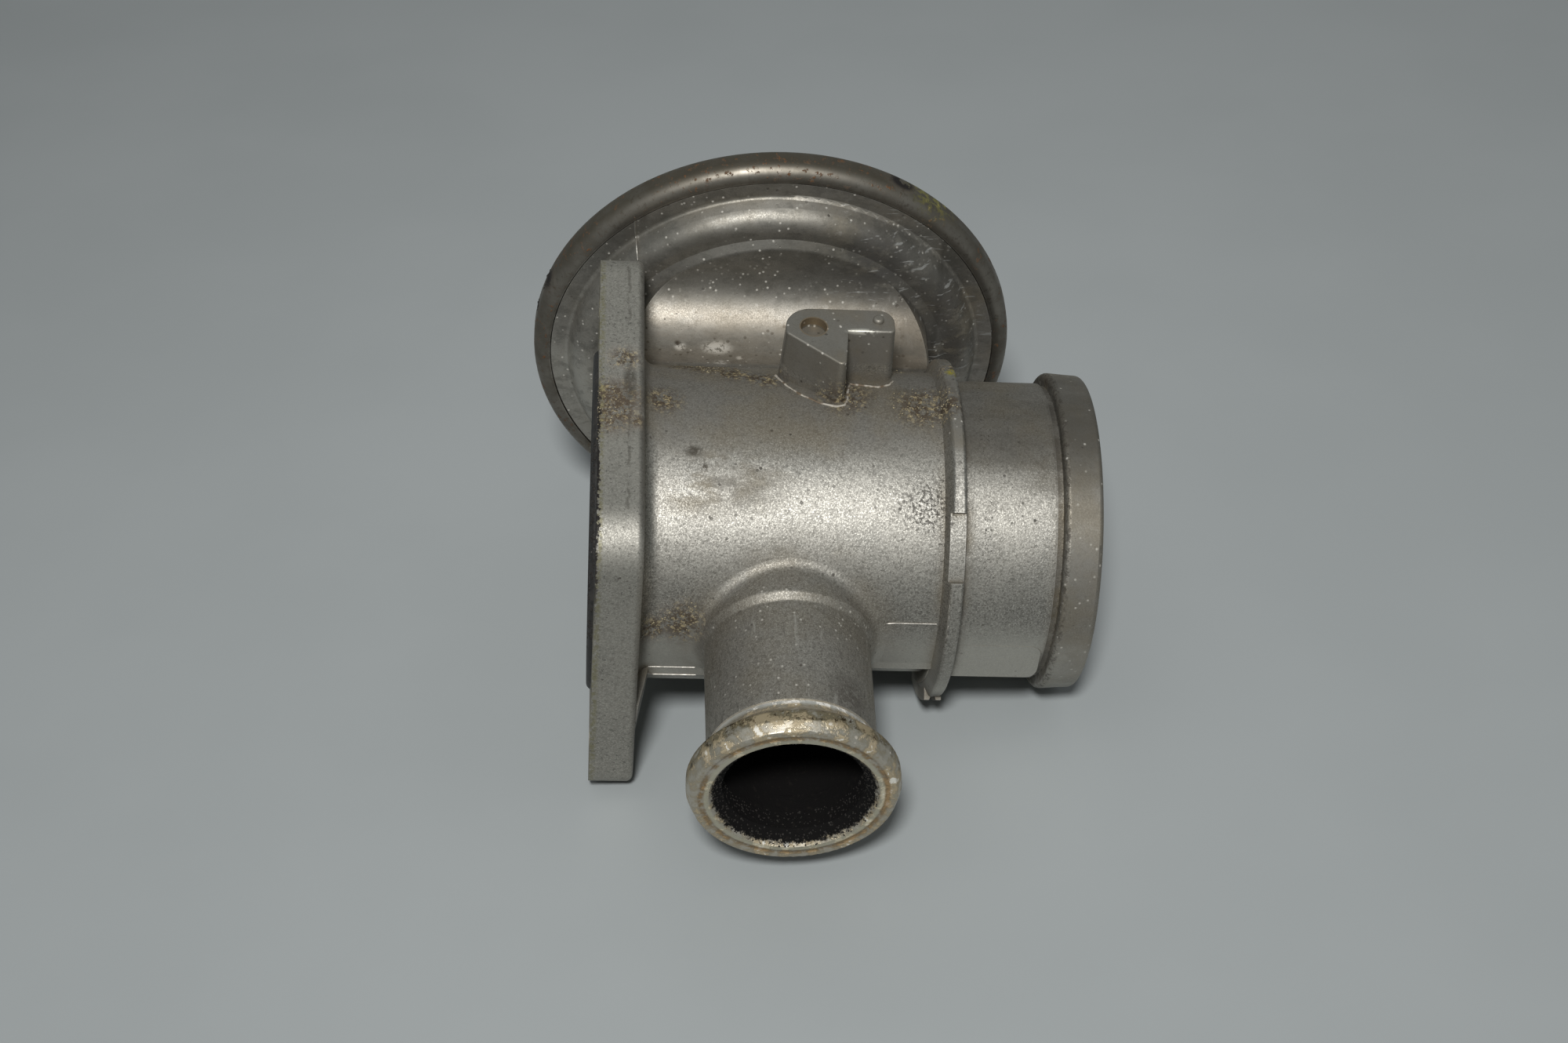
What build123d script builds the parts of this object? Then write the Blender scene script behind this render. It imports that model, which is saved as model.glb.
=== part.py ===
"""Vacuum-operated exhaust gas recirculation valve, built piece by piece (millimetres).

Frame: the origin is the centre of the manifold flange face, +X runs along the air duct towards
the hose spigot, +Y along the valve stem towards the diaphragm can, +Z is up.
"""
from build123d import *
import math
import os

# ---------------------------------------------------------------- air duct and hose spigot
duct_bore_r = 27.0
duct_wall = 4.5
collar_x = 68.0
spigot_wall = 3.0
spigot_length = 27.0
spigot_bead_length = 7.5
spigot_bead_height = 2.2
spigot_bead_taper = 0.5
spigot_relief_depth = 0.5
spigot_relief_width = 1.2
spigot_lead_in = 1.0

# ---------------------------------------------------------------- manifold flange
flange_thickness = 8.8
flange_half_y = 41.15
flange_half_z = 38.26
flange_corner_r = 9.3
flange_edge_r = 1.3
flange_root_r = 2.9
flange_swell = 2.4
flange_swell_reach = 11.5
bolt_hole_r = 4.25
seal_groove_wall = 3.4
seal_groove_width = 3.8
seal_groove_depth = 2.4
seal_proud = 0.9
seal_crown_r = 1.4
seal_side_gap = 0.1

# ---------------------------------------------------------------- collar behind the spigot
collar_thickness = 2.5
collar_height = 2.8
collar_root_run = 1.6
collar_edge_r = 0.6
collar_notch_depth = 1.1
collar_notch_from = 29.0
collar_notch_to = 52.0
collar_ear_height = 3.5
collar_ear_thickness = 3.4
collar_ear_angle = -52.0
collar_ear_span = 34.0
collar_ear_groove = 1.9
collar_ear_groove_depth = 2.4
collar_sink = 0.5

# ---------------------------------------------------------------- exhaust stub on the valve axis
valve_x = 37.6
stub_bore_r = 13.3
stub_wall = 2.8
stub_length = 37.0
stub_boss_wall = 3.8
stub_boss_reach = 1.4
stub_boss_step = 1.6
stub_root_r = 2.6
machined_length = 10.2
machined_neck_cut = 0.25
clamp_bead_height = 3.9
clamp_bead_taper = 0.9
clamp_bead_front = 2.2
clamp_bead_width = 2.2
clamp_bead_run = 4.1
mouth_chamfer = 2.5
stub_step_r = 0.8
bead_foot_r = 1.2
bead_edge_r = 0.6
mouth_edge_r = 0.5

# ---------------------------------------------------------------- lower pan, cast with the body
pan_gap = 12.5
pan_wall = 3.0
pan_disc_margin = 14.9
pan_step_run = 2.0
pan_step = 1.0
pan_step_r = 1.5
pan_shoulder_r = 4.5
pan_depth = 6.0
rim_thickness = 4.0
rim_outer_r = 49.9
rim_land = 9.1
rim_ledge = 5.9
rim_ledge_draft = 2.2
rim_ledge_root_r = 0.9
rim_step_width = 2.4
rim_step_depth = 1.1
rim_corner_r = 1.7
saddle_r = 12.0
saddle_length = 59.7
vent_r = 2.5
vent_edge_gap = 0.3
vent_recess = 0.2

# ---------------------------------------------------------------- sensor lug on top of the duct
lug_height = 9.7
lug_hole_from_valve = 4.0
lug_hole_y = 14.4
lug_hole_r = 2.6
lug_hole_depth = 2.2
lug_boss_r = 5.4
lug_back_r = 5.2
lug_front_drop = 1.8
lug_length = 21.4
lug_arm_depth = 6.3
lug_nose_x = 5.8
lug_nose_reach = 11.2
lug_end_r = 3.2
lug_edge_r = 1.0
lug_rim_r = 0.4
lug_draft = 2.5
lug_root_depth = 10.0
pip_r = 1.1
pip_height = 0.9
pip_round = 0.6

# ---------------------------------------------------------------- pressed steel cover
sheet = 1.2
crimp_gap = 0.1
lip_short = 0.25
crimp_corner_r = 1.1
cover_foot_margin = 3.9
cover_shoulder_margin = 13.4
cover_shoulder_height = 12.0
cover_deck_height = 14.0
tower_height = 11.0
tower_root_r = 21.5
tower_taper = 0.9
locator_r = 6.5
locator_depth = 6.0
locator_bend_r = 0.8
locator_root_r = 2.0
tower_bend_r = 2.3
tower_foot_bend_r = 3.4
shoulder_bend_r = 3.8
cover_foot_bend_r = 2.2

# ---------------------------------------------------------------- vacuum nipple
nipple_offset = 13.0
nipple_outer_r = 2.5
nipple_bore_r = 1.3
nipple_length = 17.0
nipple_tip_chamfer = 0.6
nipple_root_r = 2.2
nipple_foot_r = 4.5
nipple_foot_height = 1.6

# ---------------------------------------------------------------- seat, stem and guide
press_gap = 0.02
running_gap = 0.05
press_chamfer = 0.6
seat_wall = 2.5
seat_proud = 1.5
seat_height = 7.5
seat_land_width = 1.8
seat_clearance = 0.12
head_overlap = 1.6
head_toe = 0.4
head_rim_height = 1.6
head_crown_height = 4.1
head_hub_r = 5.0
head_hub_flare = 1.5
head_hub_round = 1.0
head_edge_r = 0.4
stem_r = 3.0
stem_tail_r = 2.4
rivet_r = 3.8
rivet_height = 1.6
rivet_side = 0.7
rivet_crown_r = 2.3
guide_wall = 2.5
guide_boss_wall = 3.1
guide_boss_reach = 6.0
scraper_thickness = 2.2
scraper_edge = 1.0
scraper_round = 0.5
shield_sheet = 0.8
shield_reach = 4.0
shield_hole_gap = 0.6
shield_bend_r = 1.2
shield_inner_bend_r = 0.4
seal_pocket_r = 8.5
seal_pocket_spare = 0.2
seal_thickness = 2.6
seal_web = 0.9
seal_rim = 1.4
seal_slope = 0.4
seal_lip = 0.9
seal_lip_root = 1.6
seal_lip_drop = 0.5
retainer_thickness = 1.0
retainer_hole_gap = 1.0
retainer_edge_r = 0.3

# ---------------------------------------------------------------- diaphragm stack on the stem
floor_gap = 1.2
spacer_height = 0.9
spacer_r = 7.0
spacer_edge_r = 0.3
plate_sheet = 1.2
plate_margin = 1.5
plate_bead_r = 22.0
plate_bead_half = 1.2
plate_bead_run = 1.2
plate_bead_rise = 1.0
plate_bend_r = 0.5
plate_edge_bend_r = 0.6
rubber = 1.2
clamp_thickness = 1.8
roll_gap = 0.4
roll_width = 5.6
roll_height = 7.0
roll_rim_gap = 0.6
roll_foot_r = 1.8
roll_root_r = 0.6
roll_clamp_r = 0.8
cup_wall_height = 4.5
cup_bend_r = 2.4
cup_bead_gap = 0.4
cup_bead_run = 1.0
cup_bead_crown = 1.8
stack_bolt_r = 2.5
washer_r = 4.8
washer_height = 1.0
washer_slit = 1.0
nut_height = 4.0
nut_across_flats = 8.0
stem_end_spare = 1.5
stem_end_chamfer = 0.6
nut_crown_share = 0.6
nut_corner_gap = 0.1
washer_slit_angle = 20.0
valve_lift = 7.0

# ---------------------------------------------------------------- return spring and lift stop
spring_wire = 3.0
spring_mean_r = 15.0
spring_turns = 5.0
spring_seat_gap = 0.1
spring_locate_gap = 0.5
stop_wall = 2.0
stop_gap = 0.3
stop_face_r = 1.5
stop_edge_r = 0.6
spring_grind = 0.25

# ---------------------------------------------------------------- casting flats at the die split
split_left_top_z = -9.7
split_left_height = 2.3
split_right_top_z = 5.9
split_right_height = 13.6
low_side_depth = 2.3
spigot_flat_top_z = -1.4
spigot_flat_height = 9.4
spigot_flat_end_gap = 0.6
spigot_flat_corner_r = 2.4

cut_margin = 1.0

# ---------------------------------------------------------------- places worked out from the sizes
duct_outer_r = duct_bore_r + duct_wall
spigot_outer_r = duct_bore_r + spigot_wall
collar_end_x = collar_x + collar_thickness
collar_outer_r = duct_outer_r + collar_height
spigot_end_x = collar_end_x + spigot_length
bolt_y = flange_half_y - flange_corner_r
bolt_z = flange_half_z - flange_corner_r
seal_groove_inner_r = duct_bore_r + seal_groove_wall
seal_groove_outer_r = seal_groove_inner_r + seal_groove_width

stub_outer_r = stub_bore_r + stub_wall
stub_boss_r = stub_bore_r + stub_boss_wall
stub_boss_end_y = -duct_outer_r - stub_boss_reach
stub_mouth_y = -duct_outer_r - stub_length
seat_bore_r = stub_bore_r - seat_wall
seat_top_y = -duct_bore_r + seat_proud
seat_land_r = seat_bore_r + seat_land_width
head_rim_r = seat_bore_r + head_overlap
head_toe_r = seat_bore_r - head_toe
head_toe_y = seat_top_y - seat_land_width - head_toe + seat_clearance * math.sqrt(2)
head_hub_y = seat_top_y + head_crown_height

guide_outer_r = stem_r + guide_wall
guide_boss_r = guide_outer_r + guide_boss_wall
guide_boss_y = duct_bore_r - guide_boss_reach

pan_front_y = duct_outer_r + pan_gap
pan_plateau_y = pan_front_y + pan_step
pan_floor_y = pan_front_y + pan_wall
pan_wall_r = rim_outer_r - rim_ledge - rim_ledge_draft
pan_disc_r = rim_outer_r - pan_disc_margin
vent_pitch_r = pan_disc_r - vent_r - vent_edge_gap
rim_front_y = pan_front_y + pan_depth
rim_back_y = rim_front_y + rim_thickness
rim_bore_r = rim_outer_r - rim_land
guide_pan_y = pan_floor_y - seal_thickness - retainer_thickness - seal_pocket_spare

cover_flange_y = rim_back_y + clamp_thickness
cover_shoulder_y = rim_back_y + cover_shoulder_height
cover_deck_y = rim_back_y + cover_deck_height
cover_foot_r = rim_outer_r - cover_foot_margin
cover_shoulder_r = rim_outer_r - cover_shoulder_margin
tower_top_y = cover_deck_y + tower_height
tower_top_r = tower_root_r - tower_taper
locator_seat_y = tower_top_y - locator_depth - sheet

spacer_y = pan_floor_y + floor_gap
plate_y = spacer_y + spacer_height
rubber_y = plate_y + plate_sheet
cup_y = rubber_y + rubber
washer_y = cup_y + plate_sheet
nut_y = washer_y + washer_height
stem_end_y = nut_y + nut_height + stem_end_spare
stack_hole_r = stack_bolt_r + press_gap
cup_r = rim_bore_r - roll_rim_gap - rubber - roll_width - roll_gap
plate_r = cup_r - plate_margin

valve_axis = Axis((valve_x, 0, 0), (0, 1, 0))


def about_valve(points, rounds=()):
    """Solid of revolution about the stem, from (radius, y) points; rounds are (index, radius)."""
    return turned(points, rounds, Location((valve_x, 0, 0)), valve_axis)


def about_duct(points, rounds=()):
    """Solid of revolution about the duct, from (x, radius) points; rounds are (index, radius)."""
    return turned(points, rounds, Location((0, 0, 0)), Axis.X)


def turned(points, rounds, place, axis):
    face = make_face(Polyline(*points, close=True))
    for index, radius in rounds:
        corner = face.vertices().sort_by_distance(points[index])[0]
        face = fillet(corner, radius)
    return revolve(place * face, axis, 360)


def disc(radius, y_from, y_to, x=valve_x, z=0.0):
    """Cylinder along Y between two heights."""
    plane = Plane(origin=(x, y_from, z), x_dir=(1, 0, 0), z_dir=(0, 1, 0))
    return extrude(plane * Circle(radius), y_to - y_from)


# ================================================================= cast body
def flange_plate():
    plane = Plane(origin=(0, 0, 0), x_dir=(0, 1, 0), z_dir=(1, 0, 0))
    outline = RectangleRounded(2 * flange_half_y, 2 * flange_half_z, flange_corner_r)
    plate = extrude(plane * outline, flange_thickness)
    plate = fillet(plate.faces().sort_by(Axis.X)[-1].edges(), flange_edge_r)
    return plate


def flange_swelling():
    """Below the die split the back of the flange is thicker and slopes away from the duct."""
    plane = Plane(origin=(0, 0, 0), x_dir=(0, 1, 0), z_dir=(1, 0, 0))
    half_y = flange_half_y - flange_edge_r
    half_z = flange_half_z - flange_edge_r
    reach_x = flange_thickness + flange_swell
    outline = extrude(plane * RectangleRounded(2 * half_y, 2 * half_z, flange_corner_r), reach_x)
    cone = about_duct([
        (0, 0),
        (0, duct_outer_r + flange_swell_reach),
        (flange_thickness, duct_outer_r + flange_swell_reach),
        (reach_x, duct_outer_r),
        (reach_x, 0),
    ])
    size = 2 * (duct_outer_r + flange_swell_reach)
    below = Pos(0, 0, split_left_top_z - size / 2) * Box(size, size, size)
    return cone & outline & below


def duct_outside():
    """Tube with a flared root at the flange, and the hose spigot with its end bead."""
    root_r = duct_outer_r + flange_root_r + flange_edge_r
    tube = about_duct([
        (0, 0),
        (0, root_r),
        (flange_thickness, root_r),
        (flange_thickness, duct_outer_r),
        (collar_end_x, duct_outer_r),
        (collar_end_x, 0),
    ], [(3, flange_root_r)])
    bead_x = spigot_end_x - spigot_bead_length
    bead_r = spigot_outer_r + spigot_bead_height
    relief_x = bead_x - spigot_relief_width
    relief_r = spigot_outer_r - spigot_relief_depth
    spigot = about_duct([
        (collar_x, 0),
        (collar_x, spigot_outer_r),
        (relief_x, spigot_outer_r),
        (relief_x, relief_r),
        (bead_x, relief_r),
        (bead_x, bead_r),
        (spigot_end_x, bead_r - spigot_bead_taper),
        (spigot_end_x, 0),
    ], [(5, spigot_lead_in), (6, spigot_lead_in)])
    return tube + spigot + spigot_flat(relief_x)


def spigot_flat(x_to):
    """Vertical casting flat low on the front of the spigot, with rounded end corners."""
    plane = Plane(origin=(collar_x, 0, 0), x_dir=(1, 0, 0), z_dir=(0, -1, 0))
    length = x_to - spigot_flat_end_gap - collar_x
    middle_z = spigot_flat_top_z - spigot_flat_height / 2
    outline = Pos(length / 2, middle_z) * RectangleRounded(
        length, spigot_flat_height, spigot_flat_corner_r)
    return extrude(plane * outline, spigot_outer_r)


def collar_sector(radius, x_from, x_to, angle, span):
    """Wedge of a disc about the duct, centred on an angle measured up from -Y."""
    plane = Plane(origin=(x_from, 0, 0), x_dir=(0, -1, 0), z_dir=(1, 0, 0))
    half = math.radians(span / 2)
    reach = radius * 2
    wedge = make_face(Polyline(
        (0, 0),
        (reach * math.cos(half), -reach * math.sin(half)),
        (reach * math.cos(half), reach * math.sin(half)),
        close=True,
    ))
    wedge = Rot(0, 0, -angle) * wedge
    return extrude(plane * (Circle(radius) & wedge), x_to - x_from)


def collar():
    """Hose stop: a thin ring with a tapered back, an index notch and a thicker ear below."""
    ring = about_duct([
        (collar_x - collar_root_run, 0),
        (collar_x - collar_root_run, duct_outer_r - collar_sink),
        (collar_x, collar_outer_r),
        (collar_end_x, collar_outer_r),
        (collar_end_x, 0),
    ], [(2, collar_edge_r), (3, collar_edge_r)])
    notch_middle = (collar_notch_from + collar_notch_to) / 2
    notch_span = collar_notch_to - collar_notch_from
    notch = collar_sector(collar_outer_r + cut_margin, collar_x - collar_root_run, collar_end_x,
                          notch_middle, notch_span)
    notch_r = collar_outer_r - collar_notch_depth
    notch -= about_duct([(0, 0), (0, notch_r), (spigot_end_x, notch_r), (spigot_end_x, 0)])
    ear_r = duct_outer_r + collar_ear_height
    ear = collar_sector(ear_r, collar_end_x - collar_ear_thickness, collar_end_x,
                        collar_ear_angle, collar_ear_span)
    groove_x = collar_end_x - collar_ear_thickness / 2
    ear -= about_duct([
        (groove_x - collar_ear_groove / 2, ear_r + cut_margin),
        (groove_x, ear_r - collar_ear_groove_depth),
        (groove_x + collar_ear_groove / 2, ear_r + cut_margin),
    ])
    return ring - notch + ear


def stub_outside():
    """Exhaust stub: root boss, pipe, machined neck and the cone-backed clamp bead."""
    neck_r = stub_outer_r - machined_neck_cut
    neck_y = stub_mouth_y + machined_length
    bead_r = stub_outer_r + clamp_bead_height
    bead_front_y = stub_mouth_y + clamp_bead_front
    bead_back_y = bead_front_y + clamp_bead_width
    return about_valve([
        (0, 0),
        (stub_boss_r, 0),
        (stub_boss_r, stub_boss_end_y),
        (stub_outer_r, stub_boss_end_y - stub_boss_step),
        (stub_outer_r, neck_y),
        (neck_r, neck_y),
        (neck_r, bead_back_y + clamp_bead_run),
        (bead_r, bead_back_y),
        (bead_r, bead_front_y),
        (bead_r - clamp_bead_taper, stub_mouth_y),
        (0, stub_mouth_y),
    ], [
        (2, stub_step_r), (3, stub_step_r), (6, bead_foot_r), (7, bead_edge_r), (8, bead_edge_r),
        (9, mouth_edge_r),
    ])


def pan():
    """Shallow dish with a stepped front, a rounded shoulder and a rebate for the cover's lip."""
    step_r = pan_disc_r + pan_step_run
    inner_floor_y = pan_plateau_y + pan_wall
    inner_shoulder_r = pan_shoulder_r - pan_wall / 2
    step_y = rim_front_y + rim_step_depth
    return about_valve([
        (0, pan_front_y),
        (pan_disc_r, pan_front_y),
        (step_r, pan_plateau_y),
        (pan_wall_r, pan_plateau_y),
        (rim_outer_r - rim_ledge, rim_front_y),
        (rim_outer_r - rim_step_width, rim_front_y),
        (rim_outer_r - rim_step_width, step_y),
        (rim_outer_r, step_y),
        (rim_outer_r, rim_back_y),
        (rim_bore_r, rim_back_y),
        (rim_bore_r, inner_floor_y),
        (step_r, inner_floor_y),
        (pan_disc_r, pan_floor_y),
        (0, pan_floor_y),
    ], [
        (1, pan_step_r), (3, pan_shoulder_r), (4, rim_ledge_root_r), (7, rim_corner_r),
        (10, inner_shoulder_r),
    ])


def saddle():
    """Web between duct and pan: the duct flows into the pan through one large fillet each side."""
    centre_y = pan_front_y - saddle_r
    centre_z = math.sqrt((duct_outer_r + saddle_r) ** 2 - centre_y ** 2)
    share = duct_outer_r / (duct_outer_r + saddle_r)
    low = (centre_y * share, centre_z * share)
    high = (pan_front_y, centre_z)
    middle = arc_middle((centre_y, centre_z), saddle_r, low, high)
    plane = Plane(origin=(flange_thickness / 2, 0, 0), x_dir=(0, 1, 0), z_dir=(1, 0, 0))
    back_y = pan_plateau_y
    outline = [
        ThreePointArc(low, middle, high),
        Polyline(high, (back_y, high[1]), mirrored((back_y, high[1])), mirrored(high)),
        ThreePointArc(mirrored(high), mirrored(middle), mirrored(low)),
        Line(mirrored(low), low),
    ]
    web = extrude(plane * make_face(outline), saddle_length + flange_thickness / 2)
    return web & disc(pan_disc_r, 0, back_y)


def arc_middle(centre, radius, start, end):
    """Point halfway along the short arc between two points of a circle."""
    mid_x = (start[0] + end[0]) / 2 - centre[0]
    mid_y = (start[1] + end[1]) / 2 - centre[1]
    length = math.hypot(mid_x, mid_y)
    return (centre[0] + radius * mid_x / length, centre[1] + radius * mid_y / length)


def mirrored(point):
    return (point[0], -point[1])


def sensor_lug():
    """Drafted lug with a round boss end, an arm with a locating pip, and a pointed nose."""
    lug_hole_x = valve_x + lug_hole_from_valve
    lug_top_z = duct_outer_r + lug_height
    left = lug_hole_x - lug_boss_r
    back = lug_hole_y + lug_boss_r
    right = left + lug_length
    nose_x = lug_hole_x + lug_nose_x
    nose_y = lug_hole_y - lug_nose_reach
    points = [
        (left, lug_hole_y - lug_front_drop),
        (left, back),
        (right, back),
        (right, back - lug_arm_depth),
        (nose_x + lug_edge_r, back - lug_arm_depth),
        (nose_x, nose_y),
    ]
    rounds = [
        (0, lug_edge_r), (1, lug_back_r), (2, lug_end_r), (3, lug_edge_r), (5, lug_edge_r),
    ]
    face = make_face(Polyline(*points, close=True))
    for index, radius in rounds:
        face = fillet(face.vertices().sort_by_distance(points[index])[0], radius)
    lug = extrude(Pos(0, 0, lug_top_z) * face, -lug_height - lug_root_depth, taper=-lug_draft)
    lug = fillet(lug.faces().sort_by(Axis.Z)[-1].edges(), lug_rim_r)
    pip_x = right - lug_end_r
    pip_y = back - lug_end_r
    pip = Pos(pip_x, pip_y, lug_top_z + pip_height / 2) * Cylinder(pip_r, pip_height)
    pip = fillet(pip.faces().sort_by(Axis.Z)[-1].edges(), pip_round)
    hole_z = lug_top_z - lug_hole_depth / 2
    return lug + pip - Pos(lug_hole_x, lug_hole_y, hole_z) * Cylinder(lug_hole_r, lug_hole_depth)


def split_flat(x_from, x_to, top_z, height):
    """Vertical casting flat along the die split, level with the duct wall at its top edge."""
    front_y = math.sqrt(duct_outer_r ** 2 - top_z ** 2)
    middle = Pos((x_from + x_to) / 2, 0, top_z - height / 2)
    return middle * Box(x_to - x_from, 2 * front_y, height)


def low_side_cut():
    """The underside between stub and collar is drawn in below the split flat."""
    x_to = collar_x - collar_root_run
    shell = about_duct([
        (valve_x, duct_outer_r - low_side_depth), (valve_x, collar_outer_r), (x_to, collar_outer_r),
        (x_to, duct_outer_r - low_side_depth),
    ])
    size = 2 * collar_outer_r
    top_z = split_right_top_z - split_right_height
    below = Pos(x_to, -size / 2, top_z - size / 2) * Box(size, size, size)
    return (shell & below) - disc(stub_boss_r + stub_root_r, stub_mouth_y, 0)


def duct_with_stub():
    """Duct and exhaust stub, blended where the stub's root boss meets the duct."""
    body = duct_outside() + stub_outside()
    body = fillet(seam_edges(body, valve_x, stub_boss_r, stub_boss_end_y), stub_root_r)
    body += split_flat(flange_thickness, valve_x, split_left_top_z, split_left_height)
    body += split_flat(valve_x, collar_x, split_right_top_z, split_right_height)
    return body - low_side_cut()


def seam_edges(body, x, radius, y_above):
    """Edges that lie on a cylinder about the line through x along Y, beyond a height."""
    found = []
    for edge in body.edges():
        middle = edge.position_at(0.5)
        away = math.hypot(middle.X - x, middle.Z)
        start = edge.position_at(0)
        start_away = math.hypot(start.X - x, start.Z)
        on_wall = abs(away - radius) < 0.01 and abs(start_away - radius) < 0.01
        if on_wall and y_above < middle.Y < 0:
            found.append(edge)
    return found


def housing():
    body = duct_with_stub() + flange_plate() + flange_swelling() + collar()
    body += saddle() + pan() + sensor_lug()
    # duct bore, stub bore with its chamfered mouth, and the wall left for the stem guide
    body -= about_duct([
        (-cut_margin, 0), (-cut_margin, duct_bore_r), (spigot_end_x + cut_margin, duct_bore_r),
        (spigot_end_x + cut_margin, 0),
    ])
    body -= disc(stub_bore_r, stub_mouth_y - cut_margin, 0)
    mouth_inner_y = stub_mouth_y + mouth_chamfer
    body -= about_valve([
        (0, stub_mouth_y), (stub_bore_r + mouth_chamfer, stub_mouth_y),
        (stub_bore_r, mouth_inner_y), (0, mouth_inner_y),
    ])
    body += disc(guide_boss_r, guide_boss_y, pan_front_y)
    body -= disc(guide_outer_r, 0, pan_floor_y + cut_margin)
    body -= disc(seal_pocket_r, guide_pan_y, pan_floor_y + cut_margin)
    body -= seal_groove()
    for y in (-bolt_y, bolt_y):
        for z in (-bolt_z, bolt_z):
            body -= bolt_hole(y, z)
    vent_from_y = pan_front_y - cut_margin
    return body - disc(vent_r, vent_from_y, pan_floor_y + cut_margin, z=-vent_pitch_r)


def seal_groove():
    return about_duct([
        (-cut_margin, seal_groove_inner_r), (-cut_margin, seal_groove_outer_r),
        (seal_groove_depth, seal_groove_outer_r), (seal_groove_depth, seal_groove_inner_r),
    ])


def bolt_hole(y, z):
    plane = Plane(origin=(-cut_margin, y, z), x_dir=(0, 1, 0), z_dir=(1, 0, 0))
    depth = flange_thickness + flange_swell + 2 * cut_margin
    return extrude(plane * Circle(bolt_hole_r), depth)


# ================================================================= sealed and pressed-in parts
def flange_seal():
    inner = seal_groove_inner_r + seal_side_gap
    outer = seal_groove_outer_r - seal_side_gap
    return about_duct([
        (seal_groove_depth, inner), (seal_groove_depth, outer),
        (-seal_proud, outer), (-seal_proud, inner),
    ], [(2, seal_crown_r), (3, seal_crown_r)])


def seat_ring():
    outer = stub_bore_r - press_gap
    low_y = seat_top_y - seat_height
    return about_valve([
        (seat_bore_r, low_y), (outer - press_chamfer, low_y), (outer, low_y + press_chamfer),
        (outer, seat_top_y), (seat_land_r, seat_top_y), (seat_bore_r, seat_top_y - seat_land_width),
    ])


def stem_guide():
    outer = guide_outer_r - press_gap
    inner = stem_r + running_gap
    return about_valve([
        (inner, guide_boss_y), (outer, guide_boss_y), (outer, guide_pan_y - press_chamfer),
        (outer - press_chamfer, guide_pan_y), (inner, guide_pan_y),
    ])


def stem_scraper():
    low_y = guide_boss_y - scraper_thickness
    outer = guide_boss_r - press_gap
    lip = stem_r + running_gap
    return about_valve([
        (lip, low_y), (outer, low_y), (outer, guide_boss_y), (lip + scraper_edge, guide_boss_y),
        (lip, guide_boss_y - scraper_edge),
    ], [(1, scraper_round)])


def soot_shield():
    floor_y = guide_boss_y - scraper_thickness
    inner = guide_boss_r + press_gap
    outer = inner + shield_sheet
    top_y = guide_boss_y + shield_reach
    hole = stem_r + shield_hole_gap
    return about_valve([
        (hole, floor_y - shield_sheet), (outer, floor_y - shield_sheet), (outer, top_y),
        (inner, top_y), (inner, floor_y), (hole, floor_y),
    ], [(1, shield_bend_r), (4, shield_inner_bend_r)])


def stem_seal():
    outer = seal_pocket_r - press_gap
    lip = stem_r + running_gap
    web_y = guide_pan_y + seal_web
    top_y = guide_pan_y + seal_thickness
    lip_y = top_y - seal_lip_drop
    return about_valve([
        (lip + seal_lip, guide_pan_y), (outer, guide_pan_y), (outer, top_y),
        (outer - seal_rim, top_y), (outer - seal_rim - seal_slope, web_y),
        (lip + seal_lip_root, web_y), (lip + seal_lip, lip_y), (lip, lip_y),
    ])


def seal_retainer():
    low_y = guide_pan_y + seal_thickness
    outer = seal_pocket_r - press_gap
    inner = stem_r + retainer_hole_gap
    return about_valve([
        (inner, low_y), (outer, low_y), (outer, low_y + retainer_thickness),
        (inner, low_y + retainer_thickness),
    ], [(2, retainer_edge_r), (3, retainer_edge_r)])


def vent_filter():
    plug_r = vent_r - press_gap
    return disc(plug_r, pan_front_y + vent_recess, pan_floor_y - vent_recess, z=-vent_pitch_r)


# ================================================================= diaphragm can
def pressed(points, bends, thickness, side):
    """Pressed sheet of even thickness, from the (radius, y) path of one of its faces."""
    path = FilletPolyline(*points, radius=bends)
    section = make_face(offset(path, thickness, side=side))
    return revolve(Location((valve_x, 0, 0)) * section, valve_axis, 360)


def diaphragm_cover():
    """Domed lid with a spring tower, its edge rolled round the pan's rim into a rebate."""
    inner_r = rim_outer_r + crimp_gap
    lip_inner_r = rim_outer_r - rim_step_width + lip_short
    lip_y = rim_front_y + rim_step_depth - crimp_gap
    lip_bend_r = rim_corner_r + crimp_gap
    cover = pressed([
        (0, locator_seat_y),
        (locator_r + sheet, locator_seat_y),
        (locator_r + sheet, tower_top_y - sheet),
        (tower_top_r - sheet, tower_top_y - sheet),
        (tower_root_r - sheet, cover_deck_y - sheet),
        (cover_shoulder_r - sheet / 2, cover_shoulder_y - sheet),
        (cover_foot_r - sheet / 2, cover_flange_y),
        (inner_r, cover_flange_y),
        (inner_r, lip_y),
        (lip_inner_r, lip_y),
    ], [
        locator_bend_r, locator_root_r, tower_bend_r, tower_foot_bend_r, shoulder_bend_r,
        cover_foot_bend_r, crimp_corner_r, lip_bend_r,
    ], sheet, Side.LEFT)
    hole_r = nipple_root_r + press_gap
    return cover - disc(hole_r, cover_deck_y, tower_top_y + cut_margin, z=-nipple_offset)


def vacuum_nipple():
    """Straight hose nipple with a brazed foot and a chamfered tip."""
    foot_y = tower_top_y
    tip_y = foot_y + nipple_length
    points = [
        (nipple_bore_r, foot_y - sheet), (nipple_root_r, foot_y - sheet),
        (nipple_root_r, foot_y), (nipple_foot_r, foot_y),
        (nipple_outer_r, foot_y + nipple_foot_height),
        (nipple_outer_r, tip_y - nipple_tip_chamfer),
        (nipple_outer_r - nipple_tip_chamfer, tip_y), (nipple_bore_r, tip_y),
    ]
    face = make_face(Polyline(*points, close=True))
    nipple = revolve(face, Axis.Y, 360)
    return Pos(valve_x, 0, -nipple_offset) * nipple


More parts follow.
